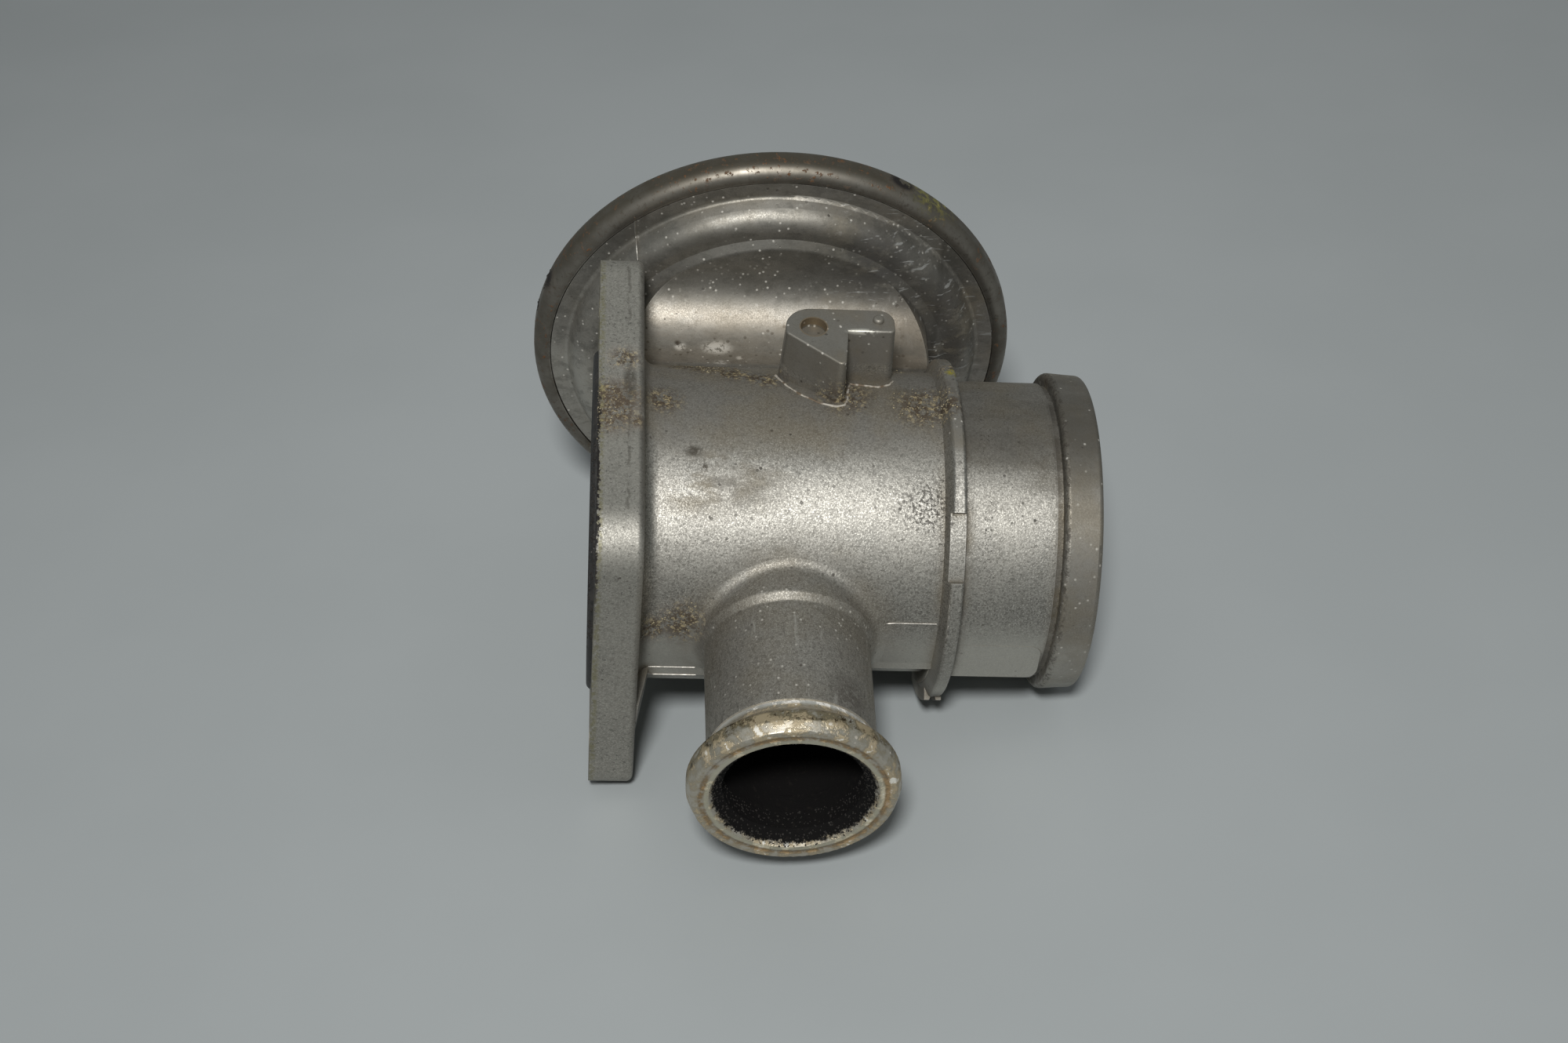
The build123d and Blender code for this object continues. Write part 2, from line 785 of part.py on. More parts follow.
def lift_stop():
    """Rubber cap over the lid's locator; the stem's end meets it at full lift."""
    inner = locator_r + sheet + press_gap
    face_y = stem_end_y + valve_lift + stop_gap
    grip_y = locator_seat_y + locator_depth / 2
    return about_valve([
        (0, face_y), (inner + stop_wall / 2, face_y), (inner + stop_wall, locator_seat_y),
        (inner + stop_wall, grip_y), (inner, grip_y), (inner, locator_seat_y),
        (0, locator_seat_y),
    ], [(1, stop_face_r), (3, stop_edge_r)])


def diaphragm():
    """Fabric-reinforced rubber disc with one rolling fold, clamped under the lid's flange."""
    fold_inner = cup_r + roll_gap
    fold_outer = fold_inner + rubber * 2 + roll_width
    crown_y = rim_back_y + roll_height
    under_y = crown_y - rubber
    clamp_r = rim_outer_r - press_gap
    outer_round = (fold_outer - fold_inner) / 2 - press_gap
    inner_round = roll_width / 2 - press_gap
    return about_valve([
        (stack_hole_r, cup_y), (fold_inner, cup_y), (fold_inner, crown_y), (fold_outer, crown_y),
        (fold_outer, cover_flange_y), (clamp_r, cover_flange_y), (clamp_r, rim_back_y),
        (fold_outer - rubber, rim_back_y), (fold_outer - rubber, under_y),
        (fold_inner + rubber, under_y), (fold_inner + rubber, rubber_y),
        (stack_hole_r, rubber_y),
    ], [
        (2, outer_round), (3, outer_round), (8, inner_round), (9, inner_round),
        (1, roll_root_r), (10, roll_foot_r), (4, roll_clamp_r), (5, crimp_corner_r),
    ])


def return_spring():
    """Coil spring with its end turns ground flat."""
    low_y = washer_y + spring_seat_gap
    high_y = tower_top_y - sheet - spring_seat_gap
    overrun = spring_wire * spring_grind
    height = high_y - low_y - spring_wire + 2 * overrun
    path = Helix(height / spring_turns, height, spring_mean_r)
    section = Plane(origin=path @ 0, z_dir=path % 0) * Circle(spring_wire / 2)
    coil = sweep(section, path, is_frenet=True)
    coil = Rot(-90, 0, 0) * coil
    coil = Pos(valve_x, low_y + spring_wire / 2 - overrun, 0) * coil
    return coil & disc(spring_mean_r + spring_wire, low_y, high_y)


# ================================================================= moving stem and its stack
def poppet_head():
    """Disc with a cone face that runs parallel to the seat's, riveted on the stem's tail."""
    rim_y = head_toe_y + head_rim_r - head_toe_r
    hole = stem_tail_r + press_gap
    return about_valve([
        (hole, head_toe_y), (head_toe_r, head_toe_y), (head_rim_r, rim_y),
        (head_rim_r, rim_y + head_rim_height),
        (head_hub_r + head_hub_flare, head_hub_y - head_hub_round),
        (head_hub_r, head_hub_y), (hole, head_hub_y),
    ], [(3, head_edge_r), (4, head_hub_round)])


def valve_stem():
    """Stem with a riveted tail through the head and a threaded end through the stack."""
    tip_y = head_toe_y - rivet_height
    return about_valve([
        (0, tip_y), (rivet_crown_r, tip_y), (rivet_r, head_toe_y - rivet_side),
        (rivet_r, head_toe_y), (stem_tail_r, head_toe_y), (stem_tail_r, head_hub_y),
        (stem_r, head_hub_y), (stem_r, spacer_y), (stack_bolt_r, spacer_y),
        (stack_bolt_r, stem_end_y - stem_end_chamfer),
        (stack_bolt_r - stem_end_chamfer, stem_end_y), (0, stem_end_y),
    ], [(1, bead_edge_r), (2, mouth_edge_r)])


def stem_spacer():
    return about_valve([
        (stack_hole_r, spacer_y), (spacer_r, spacer_y), (spacer_r, plate_y),
        (stack_hole_r, plate_y),
    ], [(1, spacer_edge_r)])


def support_plate():
    """Pressed plate under the rubber, with a stiffening bead and a turned-down edge."""
    bead_y = rubber_y - plate_bead_rise
    bead_half = plate_bead_half + plate_bead_run
    return pressed([
        (stack_hole_r, rubber_y), (plate_bead_r - bead_half, rubber_y),
        (plate_bead_r - plate_bead_half, bead_y), (plate_bead_r + plate_bead_half, bead_y),
        (plate_bead_r + bead_half, rubber_y),
        (plate_r - plate_sheet, rubber_y), (plate_r, rubber_y - plate_sheet),
    ], [plate_bend_r] * 4 + [plate_edge_bend_r], plate_sheet, Side.RIGHT)


def piston_cup():
    """Pressed cup over the rubber: its wall guides the fold and its floor seats the spring."""
    bead_to = spring_mean_r - spring_wire / 2 - spring_locate_gap - cup_bead_gap
    crown_to = bead_to - cup_bead_run
    crown_from = crown_to - cup_bead_crown
    bead_y = cup_y + plate_bead_rise
    return pressed([
        (stack_hole_r, cup_y), (crown_from - cup_bead_run, cup_y), (crown_from, bead_y),
        (crown_to, bead_y), (bead_to, cup_y), (cup_r, cup_y),
        (cup_r, cup_y + cup_wall_height),
    ], [plate_bend_r] * 4 + [cup_bend_r], plate_sheet, Side.LEFT)


def lock_washer():
    """Split spring washer."""
    ring = disc(washer_r, washer_y, nut_y) - disc(stack_hole_r, washer_y, nut_y)
    slit = Rot(0, 0, washer_slit_angle) * Box(2 * washer_r, 2 * washer_r, washer_slit)
    return ring - Pos(valve_x + washer_r, (washer_y + nut_y) / 2, 0) * slit


def stem_nut():
    corner_r = nut_across_flats / math.sqrt(3)
    plane = Plane(origin=(valve_x, nut_y, 0), x_dir=(1, 0, 0), z_dir=(0, 1, 0))
    nut = extrude(plane * RegularPolygon(corner_r, 6), nut_height)
    top_y = nut_y + nut_height
    flat_r = nut_across_flats / 2
    crown_r = corner_r + nut_corner_gap
    crown_y = top_y - (corner_r - flat_r) * nut_crown_share
    crown = about_valve([
        (0, nut_y), (crown_r, nut_y), (crown_r, crown_y), (flat_r, top_y), (0, top_y),
    ])
    return (nut & crown) - disc(stack_hole_r, nut_y - cut_margin, top_y + cut_margin)


def main():
    os.makedirs("parts", exist_ok=True)
    pieces = [
        housing, flange_seal, seat_ring, stem_guide, stem_scraper, soot_shield, stem_seal,
        seal_retainer, vent_filter, diaphragm_cover, vacuum_nipple, lift_stop, diaphragm,
        return_spring, valve_stem, poppet_head, stem_spacer, support_plate, piston_cup,
        lock_washer, stem_nut,
    ]
    for piece in pieces:
        export_step(piece(), f"parts/{piece.__name__}.step")


main()
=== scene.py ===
# %% [markdown]
# # An exhaust gas recirculation valve
# The valve is a die-cast aluminium duct with a square flange, a hose spigot, a short exhaust
# stub and a round diaphragm can. Its solids are made elsewhere to real size. This script
# dresses them: it adds the finishes, the casting seams, the soot and the small fittings, and
# it sets up a plain table with soft light.

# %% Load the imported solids
import math
import bmesh
import bpy
from mathutils import Matrix, Vector


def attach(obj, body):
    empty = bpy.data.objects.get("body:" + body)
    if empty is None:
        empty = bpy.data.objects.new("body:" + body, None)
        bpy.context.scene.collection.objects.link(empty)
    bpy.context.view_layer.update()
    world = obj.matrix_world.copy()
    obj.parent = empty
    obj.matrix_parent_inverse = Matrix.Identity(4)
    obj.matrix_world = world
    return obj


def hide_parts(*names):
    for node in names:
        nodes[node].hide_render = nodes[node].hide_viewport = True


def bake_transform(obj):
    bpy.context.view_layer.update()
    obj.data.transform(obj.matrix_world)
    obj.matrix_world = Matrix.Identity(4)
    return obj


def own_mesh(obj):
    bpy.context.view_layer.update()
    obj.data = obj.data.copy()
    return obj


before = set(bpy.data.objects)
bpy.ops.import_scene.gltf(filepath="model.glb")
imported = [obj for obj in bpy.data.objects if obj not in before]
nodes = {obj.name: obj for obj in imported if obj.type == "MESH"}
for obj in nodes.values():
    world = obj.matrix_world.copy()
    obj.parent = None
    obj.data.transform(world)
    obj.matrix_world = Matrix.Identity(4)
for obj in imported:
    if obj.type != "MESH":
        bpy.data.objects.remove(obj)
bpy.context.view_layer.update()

MM = 0.001

# %% [markdown]
# ## The sizes that the dressing shares with the solids
# Every added piece sits on a known place: the stem axis, the duct wall, the mouth of the stub.
# Naming those places once keeps each later step short. The valve's own axes are x along the
# duct, y along the stem and z up through the sensor lug.

# %% Name the shared places
STEM_X_MM = 37.6
STEM_X = STEM_X_MM * MM
BORE_R = 27.0 * MM
STUB_BORE_R = 13.3 * MM
MOUTH_Y = -68.5 * MM
NECK_Y = -58.3 * MM
NIPPLE_Z_MM = -13.0
VENT_FACE_MM = (STEM_X_MM, 44.17, -32.2)
print("stem axis at x =", STEM_X, "mouth at y =", MOUTH_Y)

# %% [markdown]
# ## The camera
# The view is from the front and well above, a little turned and rolled. A camera's own axes
# are the clearest way to say that: back points from the scene to the camera, and right and up
# are the sides of its frame. Azimuth and elevation give back, and roll turns the other two.

# %% Place the camera
azimuth, elevation, roll = math.radians(-6.85), math.radians(46.69), math.radians(6.35)
back = Vector((math.sin(azimuth) * math.cos(elevation), -math.cos(azimuth) * math.cos(elevation),
               math.sin(elevation)))
level = Vector((0, 0, 1)).cross(back).normalized()
upright = back.cross(level)
right = level * math.cos(roll) + upright * math.sin(roll)
up = back.cross(right)
spot = Vector((-3.51, -347.78, 372.46)) * MM
camera = bpy.data.objects.new("camera", bpy.data.cameras.new("camera"))
bpy.context.collection.objects.link(camera)
camera.matrix_world = Matrix.Translation(spot) @ Matrix((right, up, back)).transposed().to_4x4()
camera.data.sensor_width = 36.0
camera.data.lens = 57.93
camera.data.clip_start = 0.01
bpy.context.scene.camera = camera
print("camera looks along", tuple(round(v, 3) for v in -back))

# %% [markdown]
# ## The table
# The part doesn't stand straight on a table: it rests on the rim of its can, one corner of the
# flange and the bead of the spigot. The table is the plane through those three points, so the
# shadows fall close under the metal.

# %% Lay the table through the three resting points
TABLE_HALF = 2.5
CLEARANCE = 0.1 * MM
rim_point, spigot_point, corner_point = [
    Vector(point) * MM for point in ((42.3, 52.3, -51.0), (96.7, -4.9, -31.6), (7.9, -34.1, -38.3))]
table_up = (spigot_point - rim_point).cross(corner_point - rim_point).normalized()
if table_up.z < 0:
    table_up.negate()
side = table_up.cross(Vector((0, 1, 0))).normalized()
away = table_up.cross(side)
middle = sum((rim_point, spigot_point, corner_point), Vector()) / 3 - table_up * CLEARANCE
table_mesh = bpy.data.meshes.new("table")
table_mesh.from_pydata([middle + side * a * TABLE_HALF + away * b * TABLE_HALF
                        for a, b in ((-1, -1), (1, -1), (1, 1), (-1, 1))], [], [(0, 1, 2, 3)])
table = bpy.data.objects.new("table", table_mesh)
bpy.context.collection.objects.link(table)
print("table tilts", round(math.degrees(math.acos(table_up.z)), 1), "degrees to the part")

# %% [markdown]
# ## A short way to write a finish
# A finish is a tree of nodes that starts at the object's own coordinates and ends in one
# shader. This helper adds one node at a time and returns its result, so a finish reads like a
# recipe: noise of a given grain size, a mask, a mix of two colours. A mask is a number from 0
# to 1 that says where something lies. Masks are joined with most and both, weakened with share
# and turned round with inverse, and lay spreads one coat of colour after another through them.

# %% Define the recipe helper
class Recipe:
    """One procedural finish; every pattern reads the object's own coordinates."""

    def __init__(self, name):
        self.material = bpy.data.materials.new(name)
        self.material.use_nodes = True
        self.tree = self.material.node_tree
        self.tree.nodes.clear()
        self.shader = self.add("ShaderNodeBsdfPrincipled")
        output = self.add("ShaderNodeOutputMaterial")
        self.tree.links.new(self.shader.outputs[0], output.inputs[0])
        self.place = self.add("ShaderNodeTexCoord").outputs["Object"]
        split = self.add("ShaderNodeSeparateXYZ")
        self.tree.links.new(self.place, split.inputs[0])
        self.x, self.y, self.z = split.outputs

    # nodes, numbers and colours

    def add(self, kind):
        return self.tree.nodes.new(kind)

    def plug(self, socket, value):
        if isinstance(value, bpy.types.NodeSocket):
            self.tree.links.new(value, socket)
        elif isinstance(value, (tuple, list)) and len(value) == 3 and socket.type == "RGBA":
            socket.default_value = (*value, 1.0)
        else:
            socket.default_value = value

    def math(self, operation, *values):
        node = self.add("ShaderNodeMath")
        node.operation = operation
        for socket, value in zip(node.inputs, values):
            self.plug(socket, value)
        return node.outputs[0]

    def vector(self, operation, *values, out="Vector"):
        node = self.add("ShaderNodeVectorMath")
        node.operation = operation
        for socket, value in zip(node.inputs, values):
            self.plug(socket, value)
        return node.outputs[out]

    def step(self, value, start, end, low=0.0, high=1.0):
        """Runs smoothly from low to high while the value goes from start to end."""
        node = self.add("ShaderNodeMapRange")
        node.interpolation_type = "SMOOTHSTEP"
        for socket, given in zip(node.inputs, (value, start, end, low, high)):
            self.plug(socket, given)
        return node.outputs[0]

    def span(self, value, start_mm, end_mm, low=0.0, high=1.0):
        """The same run for a length, with its start and end in millimetres."""
        return self.step(value, start_mm * MM, end_mm * MM, low, high)

    def mix(self, share, first, second):
        node = self.add("ShaderNodeMix")
        node.data_type = "RGBA"
        self.plug(node.inputs["Factor"], share)
        self.plug(node.inputs[6], first)
        self.plug(node.inputs[7], second)
        return node.outputs[2]

    # joining masks

    def share(self, mask, amount):
        """The same mask, at part of its strength."""
        return self.math("MULTIPLY", mask, amount)

    def inverse(self, mask):
        return self.math("SUBTRACT", 1.0, mask)

    def most(self, *masks):
        """The strongest of several masks; a pair is a mask and the share of it that counts."""
        result, *others = [self.share(*mask) if isinstance(mask, tuple) else mask for mask in masks]
        for mask in others:
            result = self.math("MAXIMUM", result, mask)
        return result

    def both(self, *masks):
        result, *others = masks
        for mask in others:
            result = self.math("MULTIPLY", result, mask)
        return result

    def lay(self, colour, *coats):
        """Lays coats over a colour in turn; each is a mask, its strength and its own colour."""
        for mask, strength, coat in coats:
            colour = self.mix(mask if strength == 1 else self.share(mask, strength), colour, coat)
        return colour

    # patterns

    def noise(self, grain_mm, detail=2.0, rough=0.5, stretch=None, offset=0.0):
        node = self.add("ShaderNodeTexNoise")
        node.noise_dimensions = "4D"
        vector = self.vector("MULTIPLY", self.place, stretch) if stretch else self.place
        self.plug(node.inputs["Vector"], vector)
        self.plug(node.inputs["W"], offset)
        self.plug(node.inputs["Scale"], 1.0 / (grain_mm * MM))
        self.plug(node.inputs["Detail"], detail)
        self.plug(node.inputs["Roughness"], rough)
        return node.outputs["Fac"]

    def cells(self, size_mm, out="Distance"):
        node = self.add("ShaderNodeTexVoronoi")
        self.plug(node.inputs["Vector"], self.place)
        self.plug(node.inputs["Scale"], 1.0 / (size_mm * MM))
        return node.outputs[out]

    def rings(self, radius, along, pitch_mm):
        """Fine turned rings, the same all the way round an axis."""
        node = self.add("ShaderNodeCombineXYZ")
        self.plug(node.inputs[0], radius)
        self.plug(node.inputs[1], along)
        noise = self.add("ShaderNodeTexNoise")
        self.plug(noise.inputs["Vector"], node.outputs[0])
        self.plug(noise.inputs["Scale"], 1.0 / (pitch_mm * MM))
        self.plug(noise.inputs["Detail"], 1.0)
        return noise.outputs["Fac"]

    def waver(self, value, pattern, swing_mm):
        """A coordinate that a pattern pushes along by up to so many millimetres."""
        return self.math("ADD", value, self.math("MULTIPLY", pattern, swing_mm * MM))

    # places on the part

    def radius(self, across, along):
        """Distance from an axis, given the two coordinates across it."""
        squares = self.math("ADD", self.math("MULTIPLY", across, across),
                            self.math("MULTIPLY", along, along))
        return self.math("SQRT", squares)

    def stem_radius(self):
        return self.radius(self.math("SUBTRACT", self.x, STEM_X), self.z)

    def near(self, centre_mm, inner_mm, outer_mm, squash=(1, 1, 1)):
        """A soft round patch: 1 inside the inner distance from a point, 0 past the outer one."""
        shift = self.vector("SUBTRACT", self.place, [v * MM for v in centre_mm])
        length = self.vector("LENGTH", self.vector("MULTIPLY", shift, squash), out="Value")
        return self.span(length, outer_mm, inner_mm)

    def spots(self, *places):
        """Several such patches as one mask."""
        return self.most(*[self.near(*place) for place in places])

    def line(self, value, place_mm, half_mm):
        """1 where a coordinate is near a place, 0 further off than twice the half width."""
        off = self.math("ABSOLUTE", self.math("SUBTRACT", value, place_mm * MM))
        return self.span(off, 2 * half_mm, 0.4 * half_mm)

    def corner(self, reach_mm, shut=0.62, clear=0.97):
        """1 in the corners where two walls meet, 0 on open surfaces."""
        node = self.add("ShaderNodeAmbientOcclusion")
        node.samples = 6
        self.plug(node.inputs["Distance"], reach_mm * MM)
        return self.step(node.outputs["AO"], clear, shut)

    def edge(self, radius_mm, start=0.02, end=0.14):
        """1 along edges, found as the places where a rounded edge would turn the surface."""
        node = self.add("ShaderNodeBevel")
        node.samples = 4
        self.plug(node.inputs["Radius"], radius_mm * MM)
        flat = self.add("ShaderNodeNewGeometry")
        turn = self.vector("DOT_PRODUCT", node.outputs[0], flat.outputs["Normal"], out="Value")
        return self.step(self.inverse(turn), start, end)

    # relief and the shader

    def bumps(self, *heights):
        """Bumps on top of one another; each is a height, its depth in mm and its strength."""
        normal = None
        for height, depth_mm, strength in heights:
            node = self.add("ShaderNodeBump")
            self.plug(node.inputs["Strength"], strength)
            self.plug(node.inputs["Distance"], depth_mm * MM)
            self.plug(node.inputs["Height"], height)
            if normal is not None:
                self.plug(node.inputs["Normal"], normal)
            normal = node.outputs[0]
        return normal

    def tell(self, what):
        """Says what a step has just added and how far the finish has grown."""
        print(self.material.name + ":", what + ",", len(self.tree.nodes), "nodes so far")

    def finish(self, colour, metal, rough, normal, **constants):
        self.plug(self.shader.inputs["Base Color"], colour)
        self.plug(self.shader.inputs["Metallic"], metal)
        self.plug(self.shader.inputs["Roughness"], rough)
        self.plug(self.shader.inputs["Normal"], normal)
        for name, value in constants.items():
            self.shader.inputs[name.replace("_", " ")].default_value = value
        print("finish", self.material.name, "has", len(self.tree.nodes), "nodes")
        return self.material


def dress(name, material):
    """Gives a solid its finish; the solid itself isn't touched."""
    slots = nodes[name].material_slots
    if not slots:
        nodes[name].data.materials.append(material)
    for slot in slots:
        slot.material = material

# %% [markdown]
# ## The cast body
# Die-cast aluminium that has been blasted has a fine, sparkling grain: tiny facets, each of
# which sends the light its own way. Here that sparkle is painted into the colour: facets picked
# at random are made lighter as painted glints and darker as painted shade, over the grain's own
# uneven tone. On top of it sit the traces of an engine bay: grey stains, ochre dirt in the
# corners, dark pores, a machined bright ring where the clamp grips, and black soot inside the
# exhaust bore. Marks painted on from one side would look wrong from the others, so every mark
# here is a mask worked out from the valve's own axes or from the shape of the surface.

# %% Measure the casting's own coordinates
cast = Recipe("blasted_casting")
duct_r = cast.radius(cast.y, cast.z)
stem_r = cast.stem_radius()
blotch = cast.noise(14, 4, 0.6)
smear = cast.noise(7, 5, 0.65, stretch=(0.45, 1, 1), offset=3)
grain = cast.noise(0.27, 2, 0.7)
facet = cast.cells(0.36, out="Color")
speck = cast.noise(0.9, 3, 0.7, offset=5)
crumbly = cast.noise(1.3, 4, 0.75, offset=2)
cast.tell("coordinates and noises")

# %% Mask the soot and the machined ring
inside_duct = cast.step(duct_r, BORE_R + 0.5 * MM, BORE_R + 0.1 * MM)
in_stub = cast.both(cast.step(stem_r, STUB_BORE_R + 0.4 * MM, STUB_BORE_R + 0.1 * MM),
                    cast.span(cast.y, -20, -24))
ragged_r = cast.waver(stem_r, cast.noise(1.1, 4, 0.7, offset=9), 2.6)
mouth_soot = cast.both(cast.span(ragged_r, 16.9, 16.3), cast.span(cast.y, -62, -64))
soot = cast.most(in_stub, mouth_soot, inside_duct)
near_stub = cast.span(stem_r, 24, 22)
machined = cast.both(cast.step(cast.y, NECK_Y + 0.2 * MM, NECK_Y - 0.2 * MM), near_stub)
behind_neck = cast.step(cast.y, NECK_Y - 0.2 * MM, NECK_Y + 0.2 * MM)
cast.tell("soot and ring masks")

# %% Mask the flange, and the skin that is smoother than the rest
off_pan = cast.span(cast.y, 43.6, 43.2)
flange_face = cast.both(cast.span(cast.x, 0.12, 0.02), off_pan)
flange_rim = cast.both(cast.span(cast.x, 9.2, 8.6), off_pan)
on_pan = cast.span(cast.y, 38, 44)
behind = cast.both(cast.span(cast.y, 15, 25), cast.span(cast.x, 9.1, 9.6))
on_can = cast.most(on_pan, behind)
on_lug = cast.both(cast.span(cast.z, 32.2, 33.4), cast.span(cast.x, 30, 31), cast.span(cast.y, 26, 24))
on_spigot_bead = cast.both(cast.span(cast.x, 89.9, 90.3), cast.span(duct_r, 28, 29))
smooth_skin = cast.most(on_pan, behind, on_lug, (on_spigot_bead, 0.8))
cast.tell("flange and skin masks")

# %% Mix the bare metal, with painted sparkle and painted shade on its facets and a painted paler underside
bare_with_painted_light = cast.mix(cast.step(blotch, 0.35, 0.7), (0.292, 0.278, 0.248), (0.226, 0.217, 0.196))
# painted sparkle and painted shade: random facets are made lighter, as if catching the lamp, and darker, as
# if turned from it; the grain's own tone varies under them
painted_sparkle_facets = cast.both(cast.step(grain, 0.46, 0.66), cast.inverse(cast.share(smooth_skin, 0.8)))
painted_shade_facets = cast.both(cast.step(facet, 0.45, 0.95, 0.0, 0.6), cast.inverse(cast.share(smooth_skin, 0.7)))
open_edges = cast.both(cast.edge(0.45), cast.inverse(cast.corner(1.2, 0.7, 0.9)))
# painted light: the duct's lower side is made paler, standing in for light thrown up by the table
painted_table_bounce = cast.both(cast.span(cast.z, 7, -3), cast.span(cast.y, -36, -31))
bare_with_painted_light = cast.lay(bare_with_painted_light,
                (painted_sparkle_facets, 1, (0.47, 0.453, 0.404)),
                (painted_shade_facets, 1, (0.11, 0.104, 0.09)),
                (open_edges, 0.5, (0.6, 0.575, 0.53)),
                (flange_rim, 0.4, (0.40, 0.385, 0.34)),
                (painted_table_bounce, 0.75, (0.50, 0.485, 0.435)))
cast.tell("bare metal")

# %% [markdown]
# ## Grey film and ochre dirt
# An oily film dries to a grey-brown veil on the top of the duct, the stub, the pan and the
# spigot, and its edge wanders. On the tops of the duct and the spigot the same coat is also
# painted shade: those tops face the dark room above, and they are painted darker to match.
# Coarser dirt gathers where two walls meet. Both are laid as coats on the bare metal. The film's
# edge is a plain height or distance that a smeary noise pushes to and fro, which is how a dried
# edge looks, and the dirt keeps to listed places.

# %% Add the grey-brown film, which is partly painted shade on the tops of the duct and the spigot
# partly painted shade: the duct's top is painted darker because it faces the dark room; along its wandering
# edge it is a real grey film
top_film_and_shade = cast.both(cast.span(cast.z, 10, 20), cast.span(duct_r, 34, 32.5),
                     cast.span(cast.waver(cast.y, smear, 14), -7, 3))
stub_film = cast.both(cast.span(stem_r, 18.5, 17.5), cast.span(cast.y, -28, -33), behind_neck,
                      cast.step(blotch, 0.2, 0.6, 0.5, 1.0))
stain = cast.both(cast.near((23, -14.5, 28), 3, 10, (0.55, 1, 1)), cast.step(smear, 0.42, 0.58))
pan_film = cast.both(smooth_skin, cast.step(cast.noise(9, 5, 0.7, offset=12), 0.3, 0.55, 0.45, 1.0),
                     cast.span(cast.waver(cast.x, smear, 16), 46, 62, 0.5, 1.15))
root_film = cast.both(cast.span(stem_r, 25, 18.5), cast.span(cast.y, -42, -33),
                      cast.span(cast.y, -12, -26), cast.step(blotch, 0.3, 0.55))
# partly painted shade: the spigot's top is painted darker like the duct's, over a real film with a
# wandering edge
spigot_film_and_shade = cast.both(cast.span(cast.waver(cast.z, smear, 14), 29, 41), cast.span(cast.x, 70.6, 71.2))
# darker in the corners where two walls meet, found by ambient occlusion
corner_darkening = cast.both(cast.corner(3.2), cast.step(smear, 0.25, 0.55))
film_and_shade = cast.most((top_film_and_shade, 0.62), (stain, 0.75), (pan_film, 0.62), (root_film, 0.4),
                 (corner_darkening, 0.85), (stub_film, 0.40), (spigot_film_and_shade, 0.72))
film_and_shade_colour = cast.mix(cast.step(blotch, 0.4, 0.65), (0.135, 0.126, 0.108), (0.155, 0.130, 0.088))
# the film and its painted shade are laid on the metal, and the spigot's top gets a further near-black coat
# of painted shade
worn_with_painted_light = cast.lay(bare_with_painted_light, (film_and_shade, 1, film_and_shade_colour), (spigot_film_and_shade, 0.6, (0.055, 0.05, 0.041)))
cast.tell("film_and_shade")

# %% Place the ochre dirt where it gathers
DIRTY_CORNERS = [
    ((63.5, 3.5, 31.5), 2, 9), ((67.5, 1.5, 33.5), 1, 6), ((3.5, -4, 38.3), 2, 8),
    ((2.6, -9.5, 38.3), 1, 6), ((5, 7, 38.3), 1, 5), ((17, -31, 5), 1.5, 7.5),
    ((11.5, -31, 3.6), 1, 5), ((22.2, 17.8, 26), 1, 8), ((57, 22, 24), 2, 9),
    ((48, 6, 31), 2, 8), ((33, 12, 30), 1, 6), ((70.2, 14.4, 31), 1, 5),
    ((17, 19, 25), 1, 5), ((26.5, 14.5, 28), 1.5, 6), ((31, 12.5, 29), 1, 4),
    ((12.5, 3, 31), 1, 6), ((3.2, -7.5, 38.3), 2, 6), ((1.5, -2, 38.3), 1, 4),
    ((7.5, -10, 38.3), 0.5, 3),
]
dirt = cast.both(cast.spots(*DIRTY_CORNERS), cast.step(crumbly, 0.40, 0.53))
dirt_colour = cast.mix(cast.step(speck, 0.50, 0.62), (0.045, 0.031, 0.018), (0.31, 0.255, 0.145))
rim_speck = cast.noise(0.8, 4, 0.8, offset=44)
dark_rim_specks = cast.both(flange_rim, cast.step(rim_speck, 0.44, 0.36),
                            cast.step(blotch, 0.35, 0.55, 0.35, 0.8))
pale_rim_specks = cast.both(flange_rim, cast.step(rim_speck, 0.60, 0.68, 0, 0.6))
wash = cast.both(cast.near((3.5, -7, 38.3), 3, 10, (0.8, 1, 1)), cast.step(smear, 0.3, 0.55))
worn_with_painted_light = cast.lay(worn_with_painted_light,
                (dark_rim_specks, 1, (0.10, 0.095, 0.085)),
                (pale_rim_specks, 1, (0.52, 0.50, 0.44)),
                (dirt, 0.9, dirt_colour),
                (wash, 0.35, (0.10, 0.072, 0.045)))
cast.tell("ochre dirt")

# %% [markdown]
# ## Pores, specks and marks
# The casting has open pores, and dirt sits in every one and along each step of the collar and
# the bead. The pan is mottled and scratched, and its oily side has run marks. Cells of a Voronoi
# pattern give round spots, noise gives ragged ones, and a second, larger noise under each of
# them leaves some areas clean, because spots that are spread evenly look printed.

# %% Add pores and the lines of dirt beside the collar and the bead
pore = cast.both(cast.step(cast.cells(2.6), 0.15, 0.08),
                 cast.step(cast.noise(9, 2, 0.5, offset=7), 0.46, 0.62))
fine_pore = cast.both(cast.step(cast.cells(1.1), 0.16, 0.06),
                      cast.step(cast.noise(6, 2, 0.5, offset=8), 0.5, 0.66))
collar_line = cast.both(cast.line(cast.x, 71.0, 0.5), cast.step(smear, 0.3, 0.55))
bead_line = cast.both(cast.line(cast.x, 89.2, 0.5), cast.step(smear, 0.3, 0.5))
bead_dirt = cast.both(cast.line(cast.x, 90.4, 0.5), cast.step(speck, 0.46, 0.62))
ear_dirt = cast.both(cast.near((63.5, -18.5, 25.3), 1, 9),
                     cast.step(cast.noise(0.6, 3, 0.6, offset=30), 0.52, 0.6))
